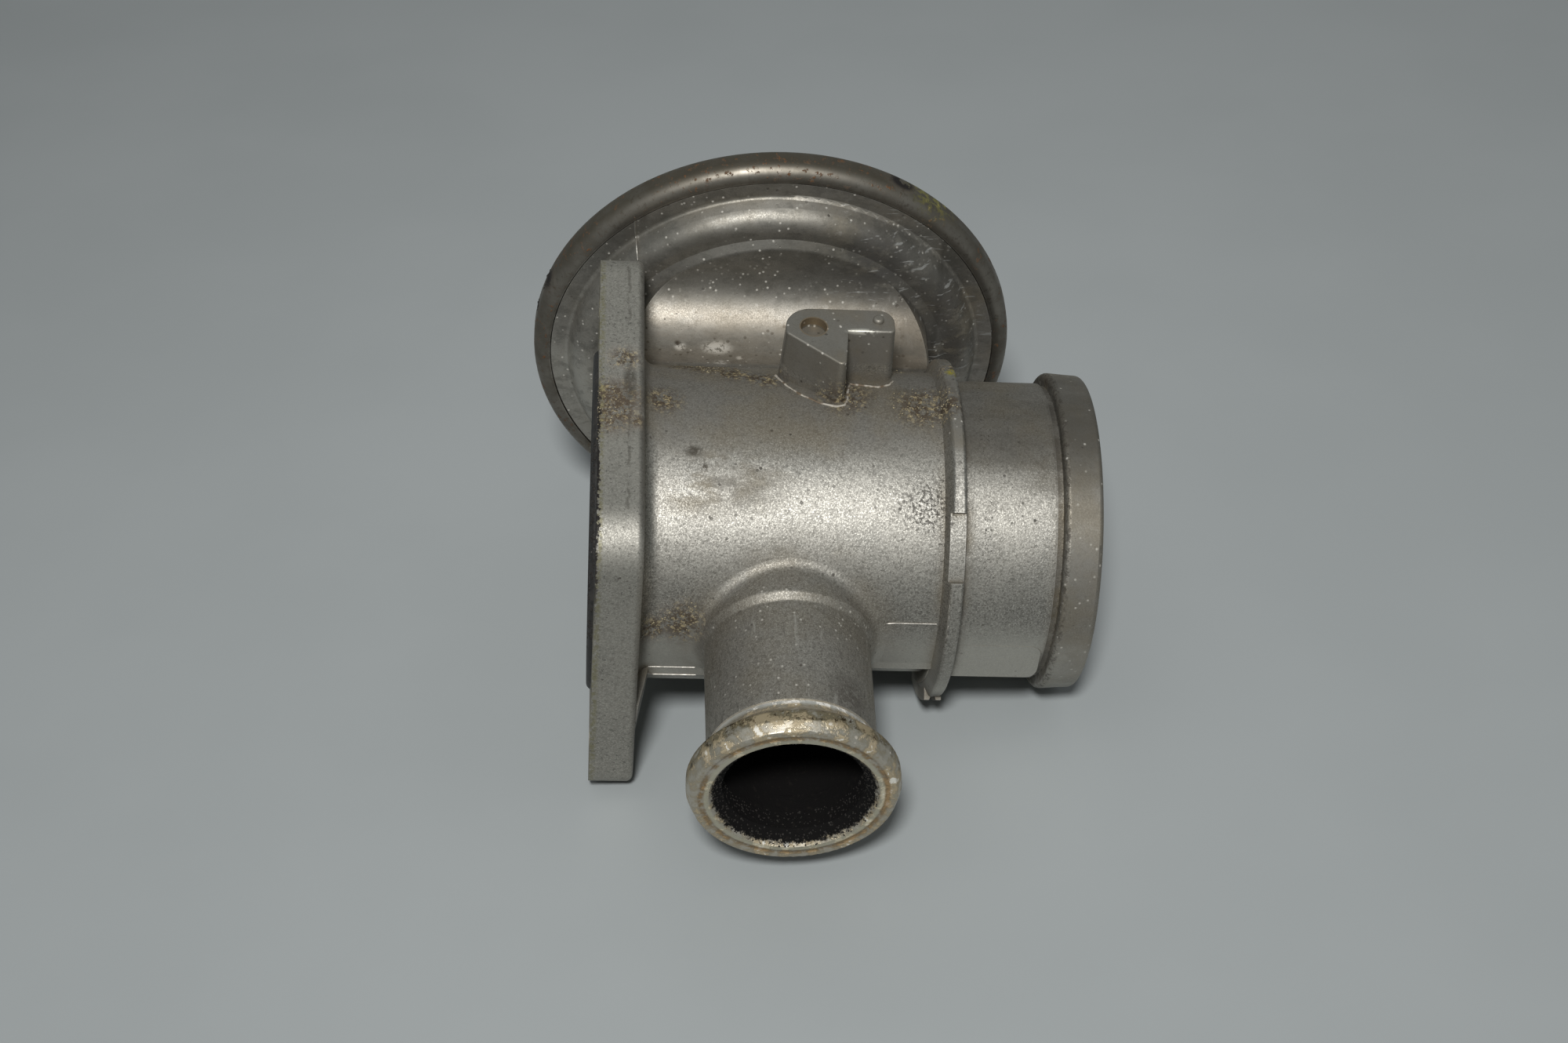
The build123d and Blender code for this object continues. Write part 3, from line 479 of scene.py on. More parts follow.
pepper = cast.both(cast.most(cast.line(cast.x, 75.4, 1.1), cast.line(cast.x, 66.2, 0.6)),
                   cast.step(cast.noise(0.5, 3, 0.6, offset=31), 0.57, 0.66),
                   cast.span(cast.z, -4, 6), cast.step(smear, 0.35, 0.5))
neck_dirt = cast.both(cast.near((47.4, -54.5, 12.8), 1.5, 6.0), cast.step(crumbly, 0.40, 0.52))
specks = cast.most(pore, (fine_pore, 0.7), (collar_line, 0.45), (bead_line, 0.45), (bead_dirt, 0.9),
                   ear_dirt, pepper, (neck_dirt, 0.8))
cast.tell("pores and lines of dirt")

# %% Mottle the pan and the saddle
mottle = cast.noise(2.4, 5, 0.75, stretch=(0.7, 1, 1), offset=40)
upper_pan = cast.both(on_pan, cast.span(cast.z, 20, 26), cast.span(cast.z, 40, 36))
worn_with_painted_light = cast.lay(worn_with_painted_light,
                (specks, 0.8, (0.032, 0.027, 0.021)),
                (cast.both(on_can, cast.step(mottle, 0.47, 0.62)), 0.38, (0.085, 0.082, 0.07)),
                (cast.both(on_can, cast.step(mottle, 0.42, 0.30)), 0.42, (0.42, 0.405, 0.365)),
                (cast.both(upper_pan, cast.step(smear, 0.3, 0.6, 0.15, 0.48)), 1, (0.10, 0.098, 0.086)))
cast.tell("mottle")

# %% Sprinkle the pale specks
pan_spots = cast.both(upper_pan,
                      cast.step(cast.math("ADD", cast.cells(1.5), cast.share(speck, 0.25)), 0.38, 0.24),
                      cast.step(cast.noise(7, 3, 0.6, offset=41), 0.40, 0.56))
pale_field = cast.most(smooth_skin, cast.near((48, 16, 41), 8, 14), (stub_film, 0.8))
field_specks = cast.both(cast.step(cast.cells(1.8), 0.20, 0.07),
                         cast.step(cast.noise(8, 2, 0.5, offset=21), 0.38, 0.52), pale_field)
pale_patch = cast.spots(((24.4, 32.9, 17.5), 0.8, 2.8, (0.6, 1, 1)), ((16.8, 33, 17.6), 0.4, 1.8),
                        ((24.9, 28, 19), 0.4, 2.2), ((29, 30, 18), 0.2, 1.2))
pale_specks = cast.most(field_specks, (pan_spots, 0.42),
                        cast.both(pale_patch, cast.step(crumbly, 0.42, 0.5)))
worn_with_painted_light = cast.lay(worn_with_painted_light, (pale_specks, 0.75, (0.50, 0.48, 0.43)))
cast.tell("pale specks")

# %% Darken the oily side of the pan, where liquid has run and dried, and paint shade on the collar's ear
oily = cast.both(cast.spots(((70, 45, 19.7), 3, 13), ((75.1, 45, 8.2), 2, 9), ((57, 45, 32), 3, 13)),
                 cast.step(cast.noise(3.5, 5, 0.7, stretch=(0.6, 1, 1.2), offset=27), 0.38, 0.52))
run_marks = cast.both(cast.near((64.5, 35, 20), 4, 14),
                      cast.step(cast.noise(1.6, 4, 0.65, stretch=(1.2, 0.35, 0.5), offset=28), 0.38, 0.52))
dull_end = cast.both(cast.near((67, 37, 18), 3, 9, (1, 0.7, 0.7)), cast.step(mottle, 0.3, 0.55, 0.55, 1.0))
# painted shade: the ear under the collar sits in shadow, so it is painted dark and made less metallic to
# dull its highlights
ear_painted_shade = cast.both(cast.near((67.5, -25.5, -21.5), 4, 11), cast.span(cast.x, 65.5, 66.5))
worn_with_painted_light = cast.lay(worn_with_painted_light,
                (oily, 0.72, (0.045, 0.043, 0.04)),
                (run_marks, 0.78, (0.075, 0.066, 0.052)),
                (dull_end, 0.7, (0.085, 0.08, 0.067)),
                (ear_painted_shade, 0.7, (0.10, 0.09, 0.072)))
cast.tell("oily side")

# %% Rub the lug's tip, spot the collar and lighten a patch on the spigot's underside
worn_tip = cast.both(cast.near((51, 13.5, 41.0), 0.3, 1.0, (0.24, 1, 1)), cast.step(crumbly, 0.40, 0.52))
yellow_spot = cast.both(cast.near((70.0, 12.4, 32.3), 0.8, 2.2), cast.step(crumbly, 0.40, 0.50))
dark_pit = cast.both(cast.near((16.3, 34, 17.6), 0.2, 1.0), cast.step(speck, 0.3, 0.45))
# a paler patch on the front of the spigot's underside
pale_underside_patch = cast.both(cast.near((82, -24, -18), 7, 9), cast.span(cast.x, 71, 72), cast.step(smear, 0.62, 0.45))
worn_with_painted_light = cast.lay(worn_with_painted_light,
                (worn_tip, 1, (0.62, 0.60, 0.53)),
                (yellow_spot, 1, (0.30, 0.26, 0.045)),
                (dark_pit, 1, (0.03, 0.024, 0.018)),
                (pale_underside_patch, 0.6, (0.48, 0.47, 0.44)))
cast.tell("small marks")

# %% Tint and pit the saddle, and mark the duct
not_saddle = cast.most(on_pan, cast.span(duct_r, 33.4, 32.6))
saddle = cast.math("SUBTRACT", behind, cast.math("MINIMUM", behind, not_saddle))
pits = cast.both(saddle,
                 cast.step(cast.math("ADD", cast.cells(1.7), cast.share(speck, 0.3)), 0.42, 0.28),
                 cast.step(cast.noise(4, 3, 0.6, offset=46), 0.42, 0.56))
dark_marks = cast.most(
    cast.both(cast.near((18.4, -9.4, 30), 0.4, 1.7, (0.7, 1, 1)), cast.step(crumbly, 0.35, 0.5)),
    cast.both(cast.near((20.5, -12.5, 28.8), 0.3, 1.3), cast.step(speck, 0.35, 0.5)))
worn_with_painted_light = cast.lay(worn_with_painted_light,
                (cast.both(saddle, cast.step(smear, 0.3, 0.6, 0.1, 0.4)), 1, (0.27, 0.225, 0.17)),
                (pits, 0.6, (0.085, 0.068, 0.048)),
                (dark_marks, 0.85, (0.06, 0.052, 0.04)))
cast.tell("saddle")

# %% Scratch the right side of the pan and the top of the flange, and paint shade on the flange's back edge
scratches = cast.both(cast.step(cast.noise(1.2, 3, 0.6, stretch=(0.22, 0.5, 1.6), offset=23), 0.6, 0.66),
                      cast.both(on_pan, cast.span(cast.x, 44, 54)))
rim_top = cast.both(cast.span(cast.z, 37.9, 38.1), cast.span(cast.x, 9.0, 8.6))
dragged_x = cast.waver(cast.x, cast.noise(4, 3, 0.6, offset=24), 2.4)
drag_line = cast.both(rim_top, cast.line(dragged_x, 6.9, 0.22),
                      cast.step(cast.noise(2.5, 3, 0.6, stretch=(1, 0.4, 1), offset=25), 0.48, 0.56))
rim_mark = cast.both(rim_top, cast.near((6.0, 0.5, 38.26), 0.6, 1.8, (1, 0.28, 1)),
                     cast.step(speck, 0.3, 0.5))
# painted shade: a dark band where the flange's top rounds off at its back edge and turns from the light
painted_edge_shade = cast.both(cast.line(cast.x, 8.6, 0.6), cast.span(cast.z, 34, 37.5), cast.step(smear, 0.3, 0.5))
worn_with_painted_light = cast.lay(worn_with_painted_light,
                (scratches, 0.6, (0.40, 0.40, 0.38)),
                (painted_edge_shade, 0.5, (0.09, 0.082, 0.07)),
                (cast.most((drag_line, 0.55), rim_mark), 0.7, (0.07, 0.06, 0.045)))
cast.tell("scratches")

# %% [markdown]
# ## The machined ring, the stub and the joint face
# The clamp's bead was turned, so its bright metal has fine rings round the stem axis, and it
# has corroded in pale and orange bands that follow those rings. Dirt has dripped down the
# stub. The joint face is dark where the gasket lay. A distance from the axis gives the bands,
# and noise stretched along the stub gives the drips.

# %% Colour the machined ring with its pale corrosion and a painted highlight on the neck's step
ring_noise = cast.noise(3.2, 5, 0.7, offset=4)
ring_colour = cast.mix(cast.step(ring_noise, 0.40, 0.60), (0.50, 0.465, 0.395), (0.35, 0.29, 0.19))
turned_r = cast.waver(stem_r, cast.noise(2.5, 3, 0.6, offset=26), 0.8)
on_front = cast.span(cast.y, -66.9, -67.6)
orange_ring = cast.both(on_front, cast.line(turned_r, 17.7, 0.45), cast.step(ring_noise, 0.34, 0.52))
cream_ring = cast.both(on_front, cast.line(turned_r, 16.7, 0.35))
bead_back = cast.both(cast.span(cast.y, -67.2, -65.8), cast.span(cast.y, -60.4, -62.4))
# painted highlight: a bright line round the step of the turned neck, where its edge catches the lamp
painted_neck_step_highlight = cast.both(cast.line(cast.y, -58.75, 0.32), near_stub)
ring_colour = cast.lay(ring_colour,
                       (cast.step(ring_noise, 0.60, 0.64), 1, (0.66, 0.64, 0.57)),
                       (orange_ring, 0.75, (0.27, 0.17, 0.075)),
                       (cream_ring, 0.7, (0.55, 0.52, 0.40)),
                       (cast.both(bead_back, cast.step(ring_noise, 0.36, 0.50)), 1, (0.27, 0.225, 0.145)),
                       (cast.both(bead_back, cast.step(crumbly, 0.52, 0.62)), 1, (0.07, 0.05, 0.028)),
                       (painted_neck_step_highlight, 0.85, (0.74, 0.73, 0.69)))
cast.tell("machined ring")

# %% Run the drips down the stub and set the ring on its end
drips = cast.noise(1.6, 4, 0.7, stretch=(1, 0.18, 1), offset=45)
on_stub = cast.both(cast.span(cast.y, -30, -36), behind_neck, near_stub)
worn_with_painted_light = cast.lay(worn_with_painted_light,
                (cast.both(on_stub, cast.step(drips, 0.55, 0.68, 0, 0.4)), 1, (0.46, 0.45, 0.41)),
                (cast.both(on_stub, cast.step(drips, 0.42, 0.32, 0, 0.4)), 1, (0.085, 0.078, 0.066)),
                (machined, 1, ring_colour))
corroded = cast.both(machined, cast.step(ring_noise, 0.5, 0.58))
cast.tell("drips")

# %% Darken the joint face, its edge and the ring round the lug's hole
face_colour = cast.mix(cast.step(smear, 0.35, 0.65), (0.30, 0.28, 0.25), (0.05, 0.045, 0.04))
lug_ring = cast.both(cast.near((41.6, 14.4, 40.2), 2.75, 2.95, (1, 1, 0.3)), cast.span(cast.z, 39.2, 39.6))
joint_edge = cast.both(cast.line(cast.x, 0.5, 0.5), cast.step(speck, 0.4, 0.6), off_pan)
ragged_x = cast.waver(cast.x, cast.noise(1.3, 4, 0.75, offset=48), 3.2)
joint_black = cast.both(cast.span(ragged_x, 2.2, 1.8), cast.near((0, -24, 34), 15, 34), off_pan)
worn_with_painted_light = cast.lay(worn_with_painted_light,
                (flange_face, 1, face_colour),
                (lug_ring, 0.6, (0.22, 0.15, 0.07)),
                (joint_edge, 0.6, (0.23, 0.21, 0.10)),
                (joint_black, 1, (0.013, 0.011, 0.010)))
cast.tell("joint face")

# %% Blacken the bores
soot_colour = cast.mix(cast.step(speck, 0.55, 0.8), (0.003, 0.0026, 0.0024), (0.012, 0.010, 0.008))
oil_colour = cast.mix(cast.step(smear, 0.35, 0.65), (0.085, 0.072, 0.055), (0.028, 0.023, 0.018))
cast_colour = cast.lay(worn_with_painted_light, (soot, 1, cast.lay(soot_colour, (inside_duct, 0.92, oil_colour))))
cast.tell("bores")

# %% Work out how rough and how metallic the casting is
cast_rough = cast.step(grain, 0.3, 0.75, 0.60, 0.46)
for operation, mask, amount in (("ADD", cast.most(film_and_shade, flange_rim), 0.1),
                                ("ADD", cast.most(dirt, corroded), 0.22),
                                ("SUBTRACT", machined, 0.14), ("SUBTRACT", smooth_skin, 0.05)):
    cast_rough = cast.math(operation, cast_rough, cast.share(mask, amount))
dull_soot = cast.math("SUBTRACT", soot, cast.share(inside_duct, 0.45))
cast_rough = cast.math("MAXIMUM", cast_rough, cast.share(dull_soot, 0.9))
covered = cast.most(soot, joint_black, (dirt, 0.8), (specks, 0.7), (film_and_shade, 0.45), (corroded, 0.6),
                    (pale_specks, 0.8), (oily, 0.55), (cast.most(ear_painted_shade, dull_end), 0.7))
cast_metal = cast.math("SUBTRACT", 0.94, cast.share(covered, 0.94))
cast.tell("roughness and metal")

# %% Raise the grain, the turned rings and the dirt, and dress the casting
grain_strength = cast.inverse(cast.share(cast.most(smooth_skin, machined), 0.8))
turned_groove = cast.both(on_front, machined, cast.line(stem_r, 17.3, 0.3))
cast_normal = cast.bumps(
    (cast.noise(11, 3, 0.6, offset=6), 0.35, 0.3),
    (cast.noise(0.5, 3, 0.6, offset=1), 0.045, grain_strength),
    (cast.both(cast.rings(stem_r, cast.y, 0.16), machined), 0.012, 0.7),
    (cast.inverse(turned_groove), 0.2, 0.8),
    (facet, 0.012, grain_strength),
    (cast.inverse(specks), 0.08, 0.5),
    (cast.most(dirt, corroded), 0.1, 0.6))
dress("housing", cast.finish(cast_colour, cast_metal, cast_rough, cast_normal, Specular_IOR_Level=0.15))

# %% [markdown]
# ## The pressed-steel cover
# The cover was pressed from sheet, plated, and then lived under a bonnet. Its plating has gone
# a dull brownish grey with darker drips, and the folded rim, which takes the knocks, shows
# rust specks and rubbed bright metal. The finish reads the distance from the stem axis, so the
# fold round the rim differs from the deck behind.

# %% Mask the fold, its painted shade, the rust, the wear and the tar
cover = Recipe("cover_steel")
tarnish = cover.noise(8, 5, 0.65)
fine_spots = cover.noise(1.2, 4, 0.7, offset=3)
rolled = cover.noise(0.5, 2, 0.5, stretch=(1, 0.2, 1), offset=6)
on_fold = cover.span(cover.stem_radius(), 47.5, 49.0)
# partly painted shade: the fold's outer side turns from the light and is painted a darker brown, over a
# real film
fold_side_film_and_shade = cover.both(cover.span(cover.y, 50.2, 52.5), on_fold)
rust = cover.both(cover.most(on_fold, cover.corner(2.5)), cover.step(fine_spots, 0.56, 0.64),
                  cover.step(tarnish, 0.42, 0.56))
rubbed = cover.both(cover.edge(0.8, 0.03, 0.2), cover.step(tarnish, 0.62, 0.4))
tar_places = cover.spots(((-11.5, 53.2, 17.5), 1.0, 4.5), ((-13.0, 54, 9), 0.5, 2.5),
                         ((61.5, 54.2, 45.4), 1.2, 3.2, (0.55, 1, 1)))
tar = cover.both(tar_places, cover.step(cover.noise(2.2, 4, 0.7, offset=12), 0.38, 0.46))
chromate = cover.both(cover.near((68, 54.6, 41.5), 1.5, 9, (1, 1.6, 1)),
                      cover.step(fine_spots, 0.46, 0.56), on_fold)
cover.tell("masks")

# %% Lay the coats on the plating and dress the cover
plating_with_painted_shade = cover.mix(cover.step(tarnish, 0.32, 0.66), (0.225, 0.207, 0.178), (0.135, 0.122, 0.10))
plating_with_painted_shade = cover.lay(plating_with_painted_shade,
                    (cover.step(fine_spots, 0.5, 0.66, 0, 0.6), 1, (0.095, 0.08, 0.06)),
                    (fold_side_film_and_shade, 0.5, (0.10, 0.08, 0.052)),
                    (rust, 1, (0.105, 0.05, 0.022)),
                    (rubbed, 0.6, (0.42, 0.39, 0.34)),
                    (chromate, 0.7, (0.36, 0.33, 0.10)),
                    (tar, 1, (0.012, 0.010, 0.009)))
grime = cover.most(rust, tar)
dress("diaphragm_cover", cover.finish(
    plating_with_painted_shade, cover.math("SUBTRACT", 0.95, cover.share(grime, 0.85)),
    cover.math("ADD", cover.step(tarnish, 0.3, 0.7, 0.40, 0.54), cover.share(grime, 0.35)),
    cover.bumps((cover.noise(16, 3, 0.5, offset=5), 0.3, 0.25), (rolled, 0.012, 0.6), (grime, 0.06, 0.7)),
    Specular_IOR_Level=0.25))

# %% [markdown]
# ## Rubber, bush, seals and springs
# The smaller parts each have a finish of their own: moulded rubber with a dusting of lint,
# fabric-backed rubber on the diaphragm, turned bronze, heat-tinted stainless sheet, zinc
# plating with its faint yellow tint. One helper writes the metals, because they differ only in
# their colours, their grain and how much grime has settled.

# %% Define a helper for small metal parts
def metal_finish(name, clean, dull, dirty, rough, grain_mm=0.5, stretch=None, grimy=0.5):
    """Clean metal with duller areas, settled grime and rubbed edges."""
    part = Recipe(name)
    wide = part.noise(3.5, 4, 0.65)
    fine = part.noise(grain_mm, 3, 0.6, stretch=stretch, offset=4)
    settled = part.both(part.most(part.step(wide, 0.55, 0.7), part.corner(1.2)),
                        part.step(part.noise(0.9, 4, 0.7, offset=8), 0.4, 0.6))
    grime = part.share(settled, grimy)
    colour = part.lay(clean,
                      (part.step(wide, 0.35, 0.65), 1, dull),
                      (part.step(fine, 0.45, 0.7, 0, 0.4), 1, dull),
                      (grime, 1, dirty),
                      (part.edge(0.25), 0.5, clean))
    metal = part.math("SUBTRACT", 0.95, part.share(grime, 0.8))
    roughness = part.math("ADD", part.step(fine, 0.3, 0.7, rough, rough + 0.12), part.share(grime, 0.3))
    return part.finish(colour, metal, roughness, part.bumps((fine, 0.02, 0.6), (settled, 0.04, 0.6)))


# %% Finish the small metal parts
# solids, finish, clean, dull and dirty colour, roughness, grain in mm, its stretch, grime
SMALL_METALS = [
    (["seat_ring"], "machined_seat",
     (0.46, 0.44, 0.41), (0.24, 0.22, 0.2), (0.02, 0.017, 0.014), 0.3, 0.3, None, 0.95),
    (["stem_scraper"], "scraper_steel",
     (0.4, 0.39, 0.37), (0.2, 0.19, 0.17), (0.02, 0.018, 0.015), 0.35, 0.3, None, 0.9),
    (["stem_guide"], "turned_bronze",
     (0.46, 0.27, 0.12), (0.28, 0.15, 0.07), (0.05, 0.035, 0.02), 0.3, 0.3, (1, 6, 1), 0.7),
    (["vacuum_nipple"], "turned_brass",
     (0.56, 0.40, 0.17), (0.36, 0.24, 0.1), (0.10, 0.075, 0.04), 0.28, 0.25, (0.3, 6, 0.3), 0.7),
    (["seal_retainer", "stem_spacer", "support_plate", "piston_cup", "stem_nut"], "zinc_plate",
     (0.52, 0.51, 0.46), (0.36, 0.34, 0.26), (0.14, 0.115, 0.07), 0.34, 0.4, None, 0.6),
    (["return_spring"], "drawn_spring_wire",
     (0.17, 0.16, 0.155), (0.08, 0.077, 0.075), (0.05, 0.03, 0.018), 0.34, 0.25, None, 0.5),
    (["lock_washer"], "washer_steel",
     (0.22, 0.21, 0.2), (0.12, 0.115, 0.11), (0.06, 0.04, 0.025), 0.34, 0.3, None, 0.5),
]
small_metals = {}
for solids, finish, *facts in SMALL_METALS:
    small_metals[finish] = metal_finish(finish, *facts)
    for solid in solids:
        dress(solid, small_metals[finish])

# %% Heat-tint the stainless shield
shield = Recipe("heat_tinted_sheet")
heat_r = shield.waver(shield.stem_radius(), shield.noise(3, 3), 3)
tint = shield.mix(shield.span(heat_r, 4, 7), (0.13, 0.14, 0.22), (0.42, 0.30, 0.14))
shield_soot = shield.both(shield.span(shield.y, 24.5, 18.5),
                          shield.step(shield.noise(1.1, 4, 0.7), 0.4, 0.6))
tint = shield.lay(tint, (shield.span(heat_r, 7, 10.5), 1, (0.48, 0.45, 0.39)),
                  (shield_soot, 0.9, (0.014, 0.012, 0.010)))
dress("soot_shield", shield.finish(
    tint, shield.inverse(shield.share(shield_soot, 0.9)),
    shield.math("ADD", 0.24, shield.share(shield_soot, 0.6)),
    shield.bumps((shield.noise(0.3, 3), 0.015, 0.6))))

# %% Finish the stem and the poppet head, sooty below and bright above
def stem_finish(name, sooty_below_mm):
    """Ground steel, with a crust of soot that thins out along the stem."""
    stem = Recipe(name)
    drawn = stem.noise(0.3, 3, 0.5, stretch=(1, 8, 1))
    crust = stem.noise(0.8, 4, 0.7, offset=3)
    ragged_y = stem.waver(stem.y, stem.noise(2.2, 3, offset=5), 7)
    sooty = stem.span(ragged_y, sooty_below_mm + 5, sooty_below_mm + 1)
    steel = stem.mix(stem.step(drawn, 0.35, 0.7), (0.50, 0.49, 0.47), (0.33, 0.32, 0.30))
    black = stem.mix(stem.step(crust, 0.45, 0.7), (0.005, 0.0045, 0.004), (0.035, 0.03, 0.024))
    colour = stem.lay(steel,
                      (stem.step(crust, 0.58, 0.7, 0, 0.5), 1, (0.22, 0.17, 0.10)),
                      (sooty, 1, black))
    return stem.finish(colour, stem.inverse(sooty),
                       stem.math("ADD", stem.step(drawn, 0.3, 0.7, 0.22, 0.32), stem.share(sooty, 0.55)),
                       stem.bumps((drawn, 0.01, 0.5), (stem.math("MULTIPLY", crust, sooty), 0.25, 0.8)))


dress("valve_stem", stem_finish("stem_steel", 16))
dress("poppet_head", stem_finish("head_steel", 0))

# %% Define a helper for rubber and plastic
def rubber_finish(name, deep, bloom, pattern_mm, pattern_depth_mm, woven=False):
    """Moulded rubber with dust and lint on it, or the weave of a cloth under it."""
    rubber = Recipe(name)
    dust = rubber.noise(2.5, 5, 0.7)
    lint = rubber.step(rubber.cells(1.7), 0.10, 0.05)
    if woven:
        waves = 2 * math.pi / (pattern_mm * MM)
        across, along = [rubber.math("SINE", rubber.math("MULTIPLY", axis, waves))
                         for axis in (rubber.x, rubber.z)]
        pattern = rubber.step(rubber.math("MULTIPLY", across, along), -1.0, 1.0)
    else:
        pattern = rubber.noise(pattern_mm, 3, 0.6, offset=4)
    colour = rubber.lay(deep,
                        (rubber.step(dust, 0.4, 0.75), 1, bloom),
                        (rubber.step(pattern, 0.35, 0.8, 0, 0.35), 1, bloom),
                        (lint, 0.5, (0.25, 0.23, 0.2)))
    return rubber.finish(colour, 0.0, rubber.step(dust, 0.35, 0.7, 0.5, 0.75),
                         rubber.bumps((pattern, pattern_depth_mm, 0.8)), Specular_IOR_Level=0.35)


# %% Finish the rubber parts and the stem seal
seal_black = rubber_finish("moulded_rubber", (0.010, 0.0095, 0.009), (0.035, 0.032, 0.028), 0.35, 0.06)
woven_rubber = rubber_finish("woven_rubber", (0.014, 0.013, 0.013), (0.04, 0.038, 0.036), 0.9, 0.05, True)
dress("flange_seal", seal_black)
dress("lift_stop", seal_black)
dress("diaphragm", woven_rubber)
dress("stem_seal", rubber_finish("moulded_ptfe", (0.16, 0.11, 0.06), (0.28, 0.21, 0.12), 0.3, 0.02))

# %% Finish the sintered vent plug, with painted shade between its beads
vent = Recipe("sintered_beads")
bead_gap = vent.cells(0.4)
# painted shade: the gaps between the bronze beads are painted dark, as if in shadow
vent_colour_with_gap_shade = vent.mix(vent.step(bead_gap, 0.2, 0.6), (0.40, 0.27, 0.14), (0.07, 0.05, 0.03))
vent_colour_with_gap_shade = vent.lay(vent_colour_with_gap_shade,
                       (vent.step(vent.noise(1.5, 4, 0.7), 0.5, 0.66, 0, 0.7), 1, (0.06, 0.05, 0.04)))
vent_metal = vent.finish(vent_colour_with_gap_shade, 0.7, vent.step(bead_gap, 0.1, 0.6, 0.4, 0.8),
                         vent.bumps((bead_gap, -0.1, 0.8)))
dress("vent_filter", vent_metal)

# %% [markdown]
# ## Pieces that follow a path or a surface
# Casting seams, soot crumbs and threads all repeat: one small shape, many times, along a line
# or over a wall. Geometry Nodes suit that, because the tree holds the rule and its inputs hold
# the sizes. Each tree below is built here, run once with its sizes, and turned into a plain mesh.

# %% Define the geometry helper
class GeometryRecipe:
    """A geometry tree under construction; the inputs keep their names for run()."""

    def __init__(self, name, **inputs):
        self.tree = bpy.data.node_groups.new(name, "GeometryNodeTree")
        self.tree.interface.new_socket("Geometry", in_out="INPUT", socket_type="NodeSocketGeometry")
        self.tree.interface.new_socket("Geometry", in_out="OUTPUT", socket_type="NodeSocketGeometry")
        self.identifiers = {}
        for label, kind in inputs.items():
            socket = self.tree.interface.new_socket(label, in_out="INPUT", socket_type=kind)
            self.identifiers[label] = socket.identifier
        self.start = self.tree.nodes.new("NodeGroupInput").outputs
        self.end = self.tree.nodes.new("NodeGroupOutput").inputs

    def add(self, kind, inputs=None, **settings):
        """Adds a node, plugs its inputs with values or other results, and gives its outputs."""
        node = self.tree.nodes.new(kind)
        for label, value in settings.items():
            setattr(node, label, value)
        for label, value in (inputs or {}).items():
            if isinstance(value, bpy.types.NodeSocket):
                self.tree.links.new(value, node.inputs[label])
            else:
                node.inputs[label].default_value = value
        return node.outputs

    def math(self, operation, *values):
        return self.add("ShaderNodeMath", dict(enumerate(values)), operation=operation)[0]

    def close(self, geometry):
        """Every tree ends the same way: real geometry with its finish on it."""
        real = self.add("GeometryNodeRealizeInstances", {"Geometry": geometry})
        painted = self.add("GeometryNodeSetMaterial", {
            "Geometry": real[0], "Material": self.start["finish"]})
        self.tree.links.new(painted[0], self.end[0])
        print("geometry recipe", self.tree.name, "has", len(self.tree.nodes), "nodes")

# %% Run a geometry tree and keep the result as a plain piece
def run(name, data, recipe, body, slot, **values):
    """The values are the tree's own named inputs; lengths are in metres."""
    carrier = bpy.data.objects.new(name + "_carrier", data)
    bpy.context.collection.objects.link(carrier)
    modifier = carrier.modifiers.new("recipe", "NODES")
    modifier.node_group = recipe.tree
    for label, value in values.items():
        modifier[recipe.identifiers[label]] = value
    bpy.context.view_layer.update()
    graph = bpy.context.evaluated_depsgraph_get()
    mesh = bpy.data.meshes.new_from_object(carrier.evaluated_get(graph))
    carrier.modifiers.remove(modifier)
    bpy.data.objects.remove(carrier)
    piece = bpy.data.objects.new(name, mesh)
    bpy.context.collection.objects.link(piece)
    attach(piece, body)
    print(name, "has", len(mesh.polygons), "faces")
    return piece

# %% Define the lines, walls and discs that the trees start from
def line_data(name, lines, closed=False):
    """A curve object's data from lists of points in millimetres."""
    data = bpy.data.curves.new(name, "CURVE")
    data.dimensions = "3D"
    for points in lines:
        spline = data.splines.new("POLY")
        spline.points.add(len(points) - 1)
        for target, point in zip(spline.points, points):
            target.co = (*[v * MM for v in point], 1)
        spline.use_cyclic_u = closed
    return data


def turns_of(count):
    """The angles of so many equal steps round a circle."""
    return [2 * math.pi * number / count for number in range(count)]


def band_data(name, rings, count=72):
    """A tube about the stem axis, from (radius, y) rings in millimetres."""
    verts = [(STEM_X + r * MM * math.cos(turn), y * MM, r * MM * math.sin(turn))
             for r, y in rings for turn in turns_of(count)]
    faces = []
    for ring in range(len(rings) - 1):
        for number in range(count):
            a, b = ring * count + number, ring * count + (number + 1) % count
            faces.append((a, b, b + count, a + count))
    mesh = bpy.data.meshes.new(name)
    mesh.from_pydata(verts, [], faces)
    return mesh


def disc_data(name, centre_mm, radius_mm, sides=24):
    """A flat disc that faces along the stem axis."""
    x, y, z = centre_mm
    verts = [(x * MM + radius_mm * MM * math.cos(turn), y * MM, z * MM + radius_mm * MM * math.sin(turn))
             for turn in turns_of(sides)]
    mesh = bpy.data.meshes.new(name)
    mesh.from_pydata(verts, [], [tuple(range(sides))])
    return mesh

# %% [markdown]
# ## Seams left by the dies
# Where two halves of a die meet, a little metal squeezes out. It stays as a hair-thin raised
# line: along the flats beside the stub, from the stub to the collar and up the front of the
# can. A round ridge of uneven thickness, swept along each line, catches the light as the real
# seam does. A bump in the finish couldn't show on the outline.

